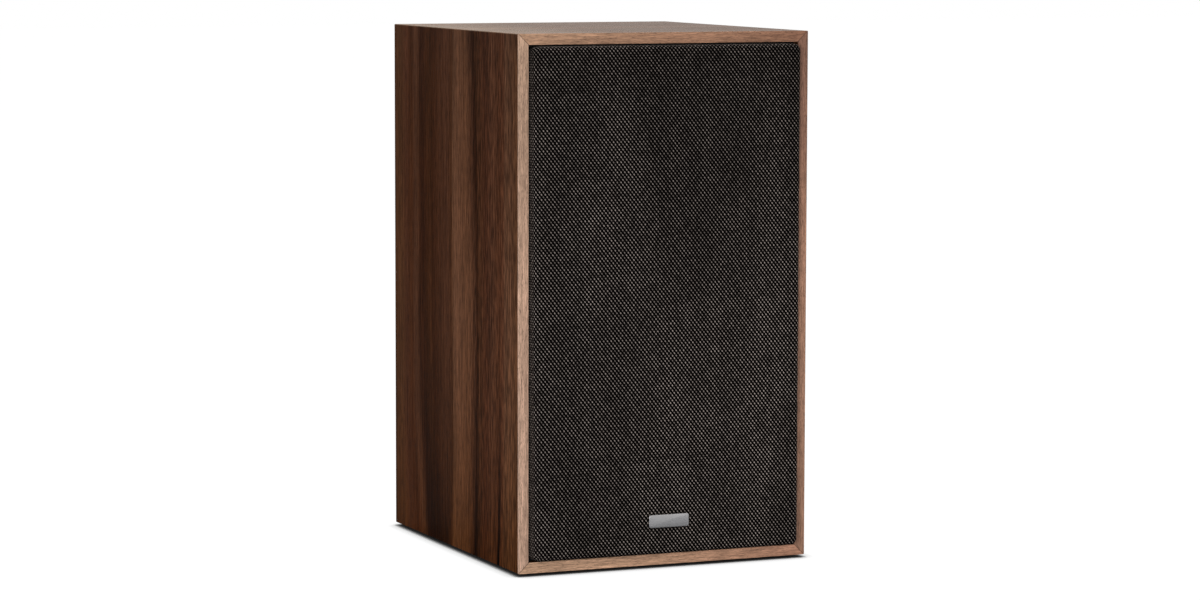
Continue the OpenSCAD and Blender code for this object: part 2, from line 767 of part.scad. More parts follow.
module tweeter_gasket() {
  color("black") at_tweeter() difference() {
    ring(tweeter_cut_r, tweeter_r - 0.5, -tweeter_rebate, -tweeter_plate_t);
    around(tweeter_screws_n, tweeter_screw_pcd, 45) rod(screw_hole_r, -baffle_t, 0);
  }
}

module tweeter_screws() {
  color("silver") at_tweeter() around(tweeter_screws_n, tweeter_screw_pcd, 45)
    pan_screw(screw_r, min(screw_len, baffle_t - 1), screw_head_r, screw_head_h);
}

module tweeter_top_plate() {
  color("silver") at_tweeter() ring(tweeter_bore_r, tweeter_top_r, z_t_magnet, z_t_top);
}

module tweeter_magnet() {
  color("dimgray") at_tweeter() ring(tweeter_bore_r + 4, tweeter_magnet_r, z_t_yoke, z_t_magnet);
}

module tweeter_yoke() {
  color("silver") at_tweeter() union() {
    rod(tweeter_top_r, z_t_yoke - tweeter_yoke_t, z_t_yoke);
    rod(tweeter_pole_r, z_t_yoke - cut, z_t_top - 0.4);
  }
}

// Two tags on the back of the tweeter's yoke
module tweeter_terminals() {
  color("goldenrod") at_tweeter() for (s = [-1, 1])
    translate([s * 10 - 2, -tweeter_top_r + 6, z_t_yoke - tweeter_yoke_t - 8]) cube([4, 1, 8]);
}

module tweeter_surround() {
  mid = (dome_r + throat_r) / 2;
  roll = 1;
  z = z_t_top;
  color("#222222") at_tweeter() rotate_extrude() polygon(concat(
    [[throat_r, z], [throat_r, z + ring_t]], arc(mid, z + ring_t, roll, 0, 180, 6),
    [[dome_r, z + ring_t], [dome_r, z]]));
}

module tweeter_dome() {
  color("#303030") at_tweeter() rotate_extrude()
    polygon(dome_outline(dome_r, dome_h, 0.4, z_t_top + 0.3));
}

module tweeter_voice_coil() {
  color("chocolate") at_tweeter()
    ring(dome_r - 0.2, dome_r - 0.2 + tweeter_coil_t, z_t_top - tweeter_top_t, z_t_top);
}

// ---------------------------------------------------------------- port

// The tube, its rear lip and the flared mouth
module port_tube() {
  f = port_flare_r;
  lip_r = port_out_r + port_lip_w;
  color("#1a1a1a") at_port() rotate_extrude() polygon(concat(
    [[port_out_r, port_lip_t - port_len], [port_out_r, 0], [lip_r, 0]],
    arc(lip_r - 2, port_lip_t - 2, 2, 0, 90, 4),
    arc(port_r + f, port_lip_t - f, f, 90, 180, 8),
    [[port_r, port_lip_t - port_len]]));
}

// ---------------------------------------------------------------- terminal cup

module terminal_cup() {
  flange = 2 * cup_flange_w;
  color("#1a1a1a") difference() {
    union() {
      translate([0, y_cup_face - cup_flange_t, z_cup])
        plate(cup_w + flange, cup_h + flange, cup_flange_t, cup_corner_r + 4);
      translate([0, y_cup_floor - cup_floor_t, z_cup])
        plate(cup_w + 2 * cup_wall, cup_h + 2 * cup_wall, cup_depth + cup_floor_t - cup_flange_t + eps,
          cup_corner_r + cup_wall);
    }
    translate([0, y_cup_floor, z_cup]) plate(cup_w, cup_h, cup_depth + cut, cup_corner_r);
    for (s = [-1, 1]) at_post(s) rod(stem_r + stem_slip, -cup_floor_t - cut, cut);
    at_cup_screws() {
      rod(cup_screw_hole_r, -cup_flange_t - cut, cut);
      translate([0, 0, -1.6]) cylinder(r1 = cup_screw_hole_r, r2 = cup_screw_head_r + 0.1, h = 1.6 + eps);
    }
  }
}

module terminal_gasket() {
  flange = 2 * cup_flange_w;
  color("#333333") difference() {
    translate([0, y_back, z_cup])
      plate(cup_w + flange - 1, cup_h + flange - 1, cup_gasket_t, cup_corner_r + 4);
    translate([0, y_back - cut, z_cup])
      plate(cup_w + 2 * (cup_wall + cup_slip), cup_h + 2 * (cup_wall + cup_slip),
        cup_gasket_t + 2 * cut, cup_corner_r + cup_wall);
    at_cup_screws() rod(cup_screw_hole_r, -cup_screw_len, cut);
  }
}

module terminal_screws() {
  color("#444444") at_cup_screws() difference() {
    union() {
      rod(cup_screw_r, -cup_screw_len, -1.5);
      translate([0, 0, -1.6]) cylinder(r1 = cup_screw_r, r2 = cup_screw_head_r, h = 1.6);
    }
    for (a = [0, 90]) rotate([0, 0, a]) translate([-2, -0.45, -1.2]) cube([4, 0.9, 2]);
  }
}

module post_studs() {
  color("gold") for (s = [-1, 1]) at_post(s) difference() {
    union() {
      rod(stem_r, -stem_len, eps);
      cylinder(r = shoulder_r, h = shoulder_t, $fn = 6);
      rod(post_r, 0, post_len);
    }
    rod(plug_r, post_len - plug_depth, post_len + cut);
    translate([-shoulder_r, 0, shoulder_t + collar_t + wire_hole_r]) rotate([0, 90, 0])
      cylinder(r = wire_hole_r, h = 2 * shoulder_r);
  }
}

module post_nuts() {
  z = -cup_floor_t - lug_t;
  color("silver") for (s = [-1, 1]) at_post(s) difference() {
    translate([0, 0, z - nut_t]) cylinder(r = nut_r, h = nut_t, $fn = 6);
    rod(stem_r + 0.02, z - nut_t - cut, z + cut);
  }
}

module solder_lugs() {
  color("goldenrod") for (s = [-1, 1]) at_post(s) difference() {
    translate([0, 0, -cup_floor_t - lug_t]) union() {
      cylinder(r = nut_r, h = lug_t);
      translate([-2, 0, 0]) cube([4, nut_r + 9, lug_t]);
    }
    rod(stem_r + 0.02, -cup_floor_t - lug_t - cut, 0);
  }
}

module post_collar(side) {
  at_post(side) translate([0, 0, shoulder_t + stack_gap]) ring(post_r + knob_slip, collar_r, 0, collar_t);
}
module post_knob(side) {
  at_post(side) difference() {
    translate([0, 0, knob_z]) union() {
      rod(knob_r, 0, knob_len - 1);
      translate([0, 0, knob_len - 1]) cylinder(r1 = knob_r, r2 = knob_r - 1, h = 1);
    }
    rod(post_r + knob_slip, 0, post_len + cut);
    around(flutes_n, knob_r + 0.3) rod(flute_r, knob_z + 2, post_len + cut);
  }
}
module red_post_collar() { color("firebrick") post_collar(1); }
module black_post_collar() { color("#222222") post_collar(-1); }
module red_post_knob() { color("firebrick") post_knob(1); }
module black_post_knob() { color("#222222") post_knob(-1); }

// ---------------------------------------------------------------- crossover and inside

module crossover_board() {
  color("darkgreen") difference() {
    translate([-board_w / 2, y_board - board_d / 2, z_board]) cube([board_w, board_d, board_t]);
    at_board_screws() rod(board_hole_r, z_board - cut, z_board_top + cut);
  }
}

module crossover_spacers() {
  color("ivory") at_board_screws() ring(board_hole_r, spacer_r, z_floor, z_board);
}

module crossover_screws() {
  color("silver") at_board_screws() translate([0, 0, z_board_top])
    pan_screw(board_screw_r, board_t + spacer_h + board_screw_bite, 3, 1.8);
}

// A place on the board, given as shares of its width and its depth from its middle
module on_board(share) {
  translate([share[0] * board_w, y_board + share[1] * board_d, z_board_top]) children();
}

// The woofer's large coil lies flat and the tweeter's small one stands on its edge
module crossover_inductors() {
  color("chocolate") {
    on_board([-0.26, 0.13]) ring(low_coil[1], low_coil[0], 0, low_coil[2]);
    on_board([0.09, 0.27]) translate([0, 0, high_coil[0]]) rotate([0, 90, 0])
      ring(high_coil[1], high_coil[0], -high_coil[2] / 2, high_coil[2] / 2);
  }
}

module crossover_capacitors() {
  for (c = capacitors)
    color("ivory") on_board(c[0]) translate([-c[2] / 2, 0, c[1]]) rotate([0, 90, 0]) union() {
      rod(c[1], 0, c[2]);
      rod(lead_r, -lead_len, c[2] + lead_len);
    }
}

module crossover_resistors() {
  for (place = [[0.09, -0.05], [0.31, 0.26]])
    color("beige") on_board(place)
      translate([-resistor_len / 2, -resistor_w / 2, 0]) cube([resistor_len, resistor_w, resistor_w]);
}

// Pairs of wires from the board to the woofer, the tweeter and the posts
module internal_wires() {
  y_woofer = y_baffle - (z_spider - ledge_t - tag_board_t - 6);
  x_tag = tag_x + 3.4;
  y_tweeter = y_baffle - (z_t_yoke - tweeter_yoke_t - 8);
  z_tweeter_tag = z_tweeter - tweeter_top_r + 6.5;
  y_lug = y_cup_floor - cup_floor_t - wire_r - 0.5;
  z_lug = z_cup - nut_r - 9;
  color("firebrick") for (s = [-1, 1]) {
    tube([[x_tag, y_woofer, z_woofer + s * tag_y], [x_tag, y_woofer + 6, z_woofer + s * tag_y],
      [x_tag - 2 - s * 2, y_woofer + 14, z_woofer + s * tag_y - 6],
      [x_tag - 4 - s * 4, y_board - board_d / 2 + 8, z_woofer / 2 + 8],
      [board_w / 2 - 18 - s * 4, y_board - board_d / 2 + 12, z_board_top + 10],
      [board_w / 2 - 18 - s * 4, y_board - board_d / 2 + 12, z_board_top]], wire_r);
    tube([[s * 10, y_tweeter, z_tweeter_tag], [s * 10, y_tweeter + 8, z_tweeter_tag - 2],
      [s * 8, y_tweeter + 24, z_tweeter_tag - 18], [s * 6, y_board + 10, z_brace],
      [s * 4, y_board + 24, z_cup + 10], [24 + s * 3, y_board + board_d / 2 - 4, z_board + 40],
      [30 + s * 3, y_board + board_d / 2 - 8, z_board_top + 10],
      [30 + s * 3, y_board + board_d / 2 - 8, z_board_top]], wire_r);
    tube([[s * post_pitch / 2, y_lug, z_lug], [s * post_pitch / 2, y_lug, z_lug - 7],
      [s * 14, y_lug - 7, z_board + 34], [-20 + s * 4, y_board + board_d / 2 - 5, z_board_top + 14],
      [-20 + s * 4, y_board + board_d / 2 - 6, z_board_top]], wire_r);
  }
}

// Four pads of wadding on the side panels, above and below the brace
module damping_wadding() {
  y1 = y_baffle_back + wadding_gap;
  y2 = y_rear_in - wadding_gap;
  low = [z_board_top + 4, z_brace - brace_t / 2 - wadding_gap];
  high = [z_brace + brace_t / 2 + wadding_gap, z_ceiling - wadding_gap];
  color("whitesmoke") for (s = [-1, 1], z = [low, high])
    translate([s > 0 ? inner_w / 2 - wadding_t : -inner_w / 2, y1, z[0]])
      cube([wadding_t, y2 - y1, z[1] - z[0]]);
}

left_side_panel();
right_side_panel();
top_panel();
bottom_panel();
rear_panel();
front_baffle();
brace_panel();
front_edging_left();
front_edging_right();
front_edging_top();
front_edging_bottom();
rubber_feet();
grille_sockets();
grille_frame();
grille_cloth();
grille_pegs();
badge_plate();
woofer_basket();
woofer_gasket();
woofer_screws();
woofer_top_plate();
woofer_magnet();
woofer_yoke();
woofer_terminals();
woofer_surround();
woofer_spider();
woofer_tinsel_leads();
woofer_cone();
woofer_dust_cap();
woofer_former();
woofer_voice_coil();
tweeter_faceplate();
tweeter_gasket();
tweeter_screws();
tweeter_top_plate();
tweeter_magnet();
tweeter_yoke();
tweeter_terminals();
tweeter_surround();
tweeter_dome();
tweeter_voice_coil();
port_tube();
terminal_cup();
terminal_gasket();
terminal_screws();
post_studs();
post_nuts();
solder_lugs();
red_post_collar();
black_post_collar();
red_post_knob();
black_post_knob();
crossover_board();
crossover_spacers();
crossover_screws();
crossover_inductors();
crossover_capacitors();
crossover_resistors();
internal_wires();
damping_wadding();
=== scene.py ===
# Looks of a two-way bookshelf speaker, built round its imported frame. Metres, +Z up, front towards -Y.
import json
import math

import bmesh
import bpy
import numpy as np
from mathutils import Matrix, Vector

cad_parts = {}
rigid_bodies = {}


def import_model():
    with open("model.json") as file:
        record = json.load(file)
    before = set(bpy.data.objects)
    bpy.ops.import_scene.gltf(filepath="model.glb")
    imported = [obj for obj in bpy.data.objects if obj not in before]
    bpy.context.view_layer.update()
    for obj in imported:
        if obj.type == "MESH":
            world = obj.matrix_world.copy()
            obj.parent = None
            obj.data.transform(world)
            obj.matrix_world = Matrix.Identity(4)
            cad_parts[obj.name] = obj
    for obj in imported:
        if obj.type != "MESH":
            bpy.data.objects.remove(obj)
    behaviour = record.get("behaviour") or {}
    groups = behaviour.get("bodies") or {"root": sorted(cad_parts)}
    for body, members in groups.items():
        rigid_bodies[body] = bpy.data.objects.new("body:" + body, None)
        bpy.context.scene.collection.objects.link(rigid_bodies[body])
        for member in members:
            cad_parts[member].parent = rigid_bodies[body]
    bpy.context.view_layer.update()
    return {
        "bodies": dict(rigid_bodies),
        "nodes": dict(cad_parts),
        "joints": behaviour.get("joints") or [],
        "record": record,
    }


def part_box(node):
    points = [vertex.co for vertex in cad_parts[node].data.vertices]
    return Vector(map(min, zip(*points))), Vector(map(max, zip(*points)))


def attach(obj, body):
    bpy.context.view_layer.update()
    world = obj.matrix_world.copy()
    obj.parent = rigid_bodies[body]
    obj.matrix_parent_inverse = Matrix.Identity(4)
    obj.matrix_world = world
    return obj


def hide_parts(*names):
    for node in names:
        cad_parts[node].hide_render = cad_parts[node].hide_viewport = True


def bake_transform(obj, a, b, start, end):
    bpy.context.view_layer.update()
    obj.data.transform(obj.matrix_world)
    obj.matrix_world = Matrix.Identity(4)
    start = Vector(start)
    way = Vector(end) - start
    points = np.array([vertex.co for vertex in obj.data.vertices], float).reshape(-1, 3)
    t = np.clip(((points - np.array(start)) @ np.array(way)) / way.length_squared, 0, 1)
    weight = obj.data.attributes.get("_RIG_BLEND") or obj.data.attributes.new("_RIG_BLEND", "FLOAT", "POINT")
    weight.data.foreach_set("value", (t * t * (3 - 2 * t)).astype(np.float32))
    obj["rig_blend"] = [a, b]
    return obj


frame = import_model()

scene = bpy.context.scene
nodes = frame["nodes"]
bodies = frame["record"]["behaviour"]["bodies"]
MM = 0.001


def corners(node):
    """Lowest and highest corner of a CAD node, as two arrays."""
    low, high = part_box(node)
    return np.array(low), np.array(high)


def radius(node):
    """The outer radius of a driver's round part."""
    low, high = corners(node)
    return (high[0] - low[0]) / 2


# The cabinet's own measures, from the frame
cabinet_low, _ = corners("bottom_panel")
_, cabinet_high = corners("top_panel")
rim_front = corners("front_edging_bottom")[0][1]
rim_back = cabinet_high[1]
cabinet_middle_z = (cabinet_low[2] + cabinet_high[2]) / 2
cabinet_half_w = cabinet_high[0]
cabinet_half_h = (cabinet_high[2] - cabinet_low[2]) / 2
baffle_back = corners("front_baffle")[1][1]
rear_front = corners("rear_panel")[0][1]


# -------- objects and meshes


def link(name, data):
    """A new object in the scene."""
    made = bpy.data.objects.new(name, data)
    scene.collection.objects.link(made)
    return made


def to_mesh(bm, name):
    """Ends a bmesh in a named mesh."""
    mesh = bpy.data.meshes.new(name)
    bm.to_mesh(mesh)
    bm.free()
    return mesh


def seat_points(name, places):
    """A mesh of loose points."""
    mesh = bpy.data.meshes.new(name)
    mesh.from_pydata([tuple(place) for place in places], [], [])
    return mesh


def apply_modifiers(piece):
    """Gives a piece the plain mesh that its modifiers make."""
    graph = bpy.context.evaluated_depsgraph_get()
    made = bpy.data.meshes.new_from_object(piece.evaluated_get(graph))
    piece.modifiers.clear()
    piece.data = made
    made.name = piece.name
    return made


def points_of(mesh):
    place = np.zeros(len(mesh.vertices) * 3)
    mesh.vertices.foreach_get("co", place)
    return place.reshape(-1, 3)


def set_points(mesh, place):
    mesh.vertices.foreach_set("co", np.asarray(place).reshape(-1))
    mesh.update()


def merged(node, apart):
    """A CAD node's loose triangles, joined where their corners meet."""
    bm = bmesh.new()
    bm.from_mesh(nodes[node].data)
    bmesh.ops.remove_doubles(bm, verts=bm.verts, dist=apart)
    return bm


def solids(node):
    """The corner points of each separate solid in a CAD node, always in the mesh's own order."""
    bm = merged(node, 0.01 * MM)
    reached, found = set(), []
    for start in bm.verts:
        if start in reached:
            continue
        reached.add(start)
        island, edge = [], [start]
        while edge:
            corner = edge.pop()
            island.append(corner)
            for side in corner.link_edges:
                other = side.other_vert(corner)
                if other not in reached:
                    reached.add(other)
                    edge.append(other)
        found.append(np.array([corner.co for corner in island]))
    bm.free()
    return found


def shade_smooth(mesh):
    mesh.polygons.foreach_set("use_smooth", [True] * len(mesh.polygons))


def smooth(piece, angle):
    """Shades a piece smooth, with sharp edges where it turns by more than an angle in degrees."""
    mesh = piece.data
    flat_normals = mesh.attributes.get("custom_normal")
    if flat_normals:
        mesh.attributes.remove(flat_normals)
    shade_smooth(mesh)
    mesh.set_sharp_from_angle(angle=math.radians(angle))


def body_of(node):
    """The body that a CAD node moves with."""
    return next(body for body, members in bodies.items() if node in members)


def stand_for(piece, node):
    """Shows a piece in place of a CAD node, and on its body unless it bends."""
    if "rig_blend" not in piece:
        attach(piece, body_of(node))
    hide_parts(node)


# -------- node trees


def paint(red, green, blue):
    """A colour given as 0 to 255 screen values, as the linear colour a shader takes."""
    shares = (red / 255, green / 255, blue / 255)
    linear = [c / 12.92 if c <= 0.04045 else ((c + 0.055) / 1.055) ** 2.4 for c in shares]
    return (*linear, 1.0)


class Nodes:
    """A tree whose nodes are added one by one. A kind is named without the tree's own family."""

    family = "ShaderNode"

    def __init__(self, tree):
        self.tree = tree

    def put(self, socket, value):
        """Links a socket to an output, or gives it a value."""
        if isinstance(value, bpy.types.NodeSocket):
            self.tree.links.new(value, socket)
        else:
            socket.default_value = value

    def add(self, kind, inputs=None, **settings):
        borrowed = kind.startswith(("Function", "Shader"))
        node = self.tree.nodes.new(kind if borrowed else self.family + kind)
        for name, value in settings.items():
            setattr(node, name, value)
        for name, value in (inputs or {}).items():
            self.put(node.inputs[name], value)
        return node

    def get(self, kind, inputs=None, **settings):
        """A new node's first output."""
        return self.add(kind, inputs, **settings).outputs[0]

    def math(self, operation, a, b=0.0):
        return self.get("ShaderNodeMath", {0: a, 1: b}, operation=operation)

    def plus(self, a, b):
        return self.math("ADD", a, b)

    def minus(self, a, b):
        return self.math("SUBTRACT", a, b)

    def times(self, a, b):
        return self.math("MULTIPLY", a, b)

    def odd(self, a, b):
        """1 where two whole numbers add up to an odd one."""
        return self.math("MODULO", self.math("ABSOLUTE", self.plus(a, b)), 2.0)

    def blend(self, amount, a, b, kind="MIX"):
        """Two colours mixed."""
        node = self.add("Mix", data_type="RGBA", blend_type=kind)
        for socket, value in ((0, amount), (6, a), (7, b)):
            self.put(node.inputs[socket], value)
        return node.outputs[2]


class Finish(Nodes):
    """A material that is built round a Principled shader. Constant values go on its own sockets."""

    def __init__(self, name, uv=False, **values):
        self.material = bpy.data.materials.new(name)
        self.material.use_nodes = True
        super().__init__(self.material.node_tree)
        self.shader = self.tree.nodes["Principled BSDF"].inputs
        for socket, value in values.items():
            self.shader[socket.replace("_", " ")].default_value = value
        self.place = self.add("TexCoord").outputs["UV" if uv else "Object"]

    def spread(self, value, low, high, to_low=0.0, to_high=1.0):
        """Moves a range of values onto another one and keeps it there."""
        inputs = {"Value": value, "From Min": low, "From Max": high, "To Min": to_low, "To Max": to_high}
        return self.get("MapRange", inputs, clamp=True)

    def axes(self, vector=None):
        """The X, Y and Z of a place."""
        return self.add("SeparateXYZ", {0: vector or self.place}).outputs

    def noise(self, scale, detail=2.0, roughness=0.5, distortion=0.0):
        """A noise on the place. Three scales stretch it: it is long along the axis of a small one."""
        place = self.place
        if isinstance(scale, tuple):
            place, scale = self.get("Mapping", {"Vector": place, "Scale": scale}), 1.0
        inputs = {"Vector": place, "Scale": scale, "Detail": detail}
        return self.get("TexNoise", {**inputs, "Roughness": roughness, "Distortion": distortion})

    def shade(self, colour, amount, low, high, dark, light):
        """A colour made darker and lighter as a pattern runs from low to high."""
        tone = self.spread(amount, low, high, dark, light)
        grey = self.get("CombineColor", {0: tone, 1: tone, 2: tone})
        return self.blend(1.0, colour, grey, "MULTIPLY")

    def ramp(self, amount, stops):
        """A colour for each place along a value."""
        node = self.add("ValToRGB", {"Fac": amount})
        elements = node.color_ramp.elements
        while len(elements) < len(stops):
            elements.new(0.5)
        for element, (place, colour) in zip(elements, stops):
            element.position = place
            element.color = colour
        return node.outputs["Color"]

    def tones(self, amount, *stops):
        """Screen colours along a value. Each stop is a place, then red, green and blue."""
        return self.ramp(amount, [(place, paint(*colour)) for place, *colour in stops])

    def level(self, amount, *points):
        """A number for each place along a value, straight from point to point."""
        low = min(level for _, level in points)
        high = max(level for _, level in points)
        stops = [(place, ((level - low) / (high - low),) * 3 + (1,)) for place, level in points]
        return self.plus(self.times(self.ramp(amount, stops), high - low), low)

    def colour(self, value):
        self.put(self.shader["Base Color"], value)

    def tint(self, colour, amount, dark, light, low=0.3, high=0.7):
        """A screen colour that a pattern makes darker and lighter."""
        self.colour(self.shade(paint(*colour), amount, low, high, dark, light))

    def roughness(self, amount, smoothest, roughest, low=0.3, high=0.7):
        self.put(self.shader["Roughness"], self.spread(amount, low, high, smoothest, roughest))

    def relief(self, height, depth, strength):
        """Bump of a real depth in metres."""
        bump = {"Height": height, "Distance": depth, "Strength": strength}
        self.put(self.shader["Normal"], self.get("Bump", bump))
        return self.material


class Rule(Nodes):
    """A Geometry Nodes tree with named sizes, run on a mesh to give a plain mesh."""

    family = "GeometryNode"

    def __init__(self, name, **sizes):
        super().__init__(bpy.data.node_groups.new(name, "GeometryNodeTree"))
        self.sockets = {}
        self.socket("Geometry", "Geometry")
        for label, value in sizes.items():
            kind = {int: "Int", float: "Float", tuple: "Vector"}[type(value)]
            self.socket(label, kind).default_value = value
        self.tree.interface.new_socket("Geometry", in_out="OUTPUT", socket_type="NodeSocketGeometry")
        self.sizes = self.tree.nodes.new("NodeGroupInput").outputs
        self.end = self.tree.nodes.new("NodeGroupOutput").inputs[0]

    def socket(self, label, kind):
        face = self.tree.interface
        made = face.new_socket(label.replace("_", " "), in_out="INPUT", socket_type="NodeSocket" + kind)
        self.sockets[label] = made
        return made

    def xyz(self, **parts):
        return self.get("ShaderNodeCombineXYZ", parts)

    def move(self, mesh, up):
        """Moves a mesh up."""
        return self.get("Transform", {"Geometry": mesh, "Translation": self.xyz(Z=up)})

    def scale(self, vector, amount):
        return self.get("ShaderNodeVectorMath", {0: vector, "Scale": amount}, operation="SCALE")

    def attribute(self, name, kind="FLOAT"):
        return self.add("InputNamedAttribute", {"Name": name}, data_type=kind).outputs["Attribute"]

    def along(self, axis, turn=None):
        """The turn that points a piece's Z along an axis."""
        inputs = {"Vector": axis} if turn is None else {"Rotation": turn, "Vector": axis}
        return self.get("FunctionNodeAlignRotationToVector", inputs, axis="Z")

    def finish(self, geometry, material):
        """Ends the tree in real geometry with its material."""
        real = self.get("RealizeInstances", {"Geometry": geometry})
        self.put(self.end, self.get("SetMaterial", {"Geometry": real, "Material": material}))
        return self

    def lay(self, piece, turn, material):
        """Ends the tree with a piece at each of the mesh's points."""
        placed = {"Points": self.sizes["Geometry"], "Instance": piece, "Rotation": turn}
        return self.finish(self.get("InstanceOnPoints", placed), material)

    def run(self, name, mesh, **sizes):
        """Runs the tree on a mesh and returns an object with the plain result."""
        piece = link(name, mesh)
        rule = piece.modifiers.new(self.tree.name, "NODES")
        rule.node_group = self.tree
        for label, value in sizes.items():
            rule[self.sockets[label].identifier] = value
        made = apply_modifiers(piece)
        material = made.materials[-1]
        made.polygons.foreach_set("material_index", [0] * len(made.polygons))
        made.materials.clear()
        made.materials.append(material)
        return piece


# -------- camera, light and floor

CAMERA_PLACE = (-1.0712, -2.5155, 0.4538)
CAMERA_TURN = (23.113, 5.806, 0.127)  # yaw, pitch and roll in degrees
CAMERA_LENS = 114.33
WHITE = (1, 1, 1, 1)
WARM_WHITE = (1, 0.975, 0.935, 1)
ROOM_LIGHT = 0.55
FLOOR_HALF = 12
FLOOR_GREY = (0.4, 0.4, 0.4, 1)  # what the lamps light, with their shadows
# The floor's glow is darkened near the speaker: a painted contact shadow, a dark line and its soft edge
FLOOR_GLOW = 1.2  # a white that only the camera sees, darker where the speaker stands
GLOW_SHARE = 0.8  # how much of the floor in view is that white
CONTACT_SHADES = ((4 * MM, 3.4), (11 * MM, 0.85))  # reach and depth of the dark line and its soft edge


def place_camera():
    """Stands the camera to the left of the speaker and a little above its top."""
    yaw, pitch, roll = (math.radians(angle) for angle in CAMERA_TURN)
    forward = Vector((math.sin(yaw) * math.cos(pitch), math.cos(yaw) * math.cos(pitch), -math.sin(pitch)))
    level = Vector((math.cos(yaw), -math.sin(yaw), 0))
    upright = level.cross(forward)
    right = level * math.cos(roll) + upright * math.sin(roll)
    up = upright * math.cos(roll) - level * math.sin(roll)
    camera = link("camera", bpy.data.cameras.new("camera"))
    turn = Matrix((right, up, -forward)).transposed().to_4x4()
    camera.matrix_world = Matrix.Translation(CAMERA_PLACE) @ turn
    camera.data.sensor_width = 36
    camera.data.lens = CAMERA_LENS
    camera.data.clip_start = 0.05
    camera.data.clip_end = 50
    scene.camera = camera


def area_lamp(name, place, target, size, power):
    """A soft square lamp that faces a point."""
    lamp = bpy.data.lights.new(name, "AREA")
    lamp.size = size
    lamp.energy = power
    stand = link(name, lamp)
    stand.location = place
    stand.rotation_euler = (Vector(target) - Vector(place)).to_track_quat("-Z", "Y").to_euler()


def light_studio():
    """Even light from all round, a broad key from the front left, one from above and a weak fill."""
    middle = (0, 0, cabinet_middle_z)
    area_lamp("key_lamp", (-1.9, -2.5, 0.4), middle, size=1.4, power=60)
    area_lamp("fill_lamp", (2.2, -1.4, 1.2), middle, size=1.6, power=8)
    area_lamp("top_lamp", (0.1, 0.5, 2.2), middle, size=1.4, power=50)
    world = bpy.data.worlds.new("studio")
    scene.world = world
    world.use_nodes = True
    room = Nodes(world.node_tree)
    room.tree.nodes.clear()
    ray = room.add("LightPath").outputs
    mirrored = room.math("MAXIMUM", ray["Is Glossy Ray"], ray["Is Transmission Ray"])
    seen = room.math("MAXIMUM", ray["Is Camera Ray"], mirrored)
    soft = room.get("Background", {"Color": WHITE, "Strength": ROOM_LIGHT})
    # What gloss mirrors is a slightly warmer white
    backdrop = room.blend(mirrored, WHITE, WARM_WHITE)
    backdrop = room.get("Background", {"Color": backdrop, "Strength": 1.0})
    choice = room.get("MixShader", {0: seen, 1: soft, 2: backdrop})
    room.add("OutputWorld", {"Surface": choice})


def lay_floor():
    """A white floor that keeps a soft shadow and a dark line where the speaker stands."""
    bm = bmesh.new()
    bmesh.ops.create_grid(bm, x_segments=1, y_segments=1, size=FLOOR_HALF)
    mesh = to_mesh(bm, "floor")
    link("floor", mesh)
    material = bpy.data.materials.new("floor_white")
    material.use_nodes = True
    f = Nodes(material.node_tree)
    f.tree.nodes.clear()
    matt = f.get("BsdfDiffuse", {"Color": FLOOR_GREY})
    shades = []
    for reach, depth in CONTACT_SHADES:
        near = f.add("AmbientOcclusion", {"Distance": reach}, samples=8).outputs["AO"]
        shades.append(f.math("POWER", near, depth))
    glow = f.get("Emission", {"Strength": f.times(f.times(*shades), FLOOR_GLOW)})
    share = f.times(f.add("LightPath").outputs["Is Camera Ray"], GLOW_SHARE)
    f.add("OutputMaterial", {"Surface": f.get("MixShader", {0: share, 1: matt, 2: glow})})
    mesh.materials.append(material)


# -------- wood

# The veneer's bands from the back edge to the front one: where each tone lies, and its colour
VENEER_BANDS = (
    (0.000, 73, 43, 22), (0.050, 81, 49, 27), (0.100, 76, 43, 25), (0.145, 70, 37, 17),
    (0.175, 83, 50, 31), (0.195, 78, 46, 27), (0.215, 57, 29, 13), (0.240, 54, 27, 12),
    (0.300, 65, 35, 16), (0.330, 60, 31, 14), (0.400, 73, 42, 24), (0.440, 78, 46, 28),
    (0.481, 72, 41, 21), (0.489, 99, 64, 41), (0.510, 102, 66, 43), (0.580, 97, 61, 38),
    (0.600, 94, 59, 37), (0.615, 78, 46, 27), (0.630, 76, 46, 28), (0.640, 54, 28, 13),
    (0.656, 48, 24, 10), (0.670, 71, 41, 22), (0.740, 71, 39, 22), (0.800, 82, 49, 30),
    (0.860, 76, 43, 24), (0.885, 81, 47, 28), (0.900, 93, 60, 39), (0.950, 92, 59, 37),
    (1.000, 88, 55, 31),
)


def skin_depths(f):
    """How deep a place lies below the cabinet's left or right face, and below its top or bottom."""
    x, _, z = f.axes()
    from_side = f.minus(cabinet_half_w, f.math("ABSOLUTE", x))
    up = f.math("ABSOLUTE", f.minus(z, cabinet_middle_z))
    return from_side, f.minus(cabinet_half_h, up)


def mitre_line(f, width=0.35 * MM):
    """1 on the joints that run in from the cabinet's four corners, 0 away from them."""
    apart = f.math("ABSOLUTE", f.minus(*skin_depths(f)))
    return f.spread(apart, width * 0.4, width * 1.3, 1, 0)


def sawn(f):
    """The colour of sawn fibreboard, and its fibres."""
    fibres = f.noise(900, 4, 0.7)
    return f.shade(paint(178, 148, 112), fibres, 0.3, 0.7, 0.8, 1.15), fibres


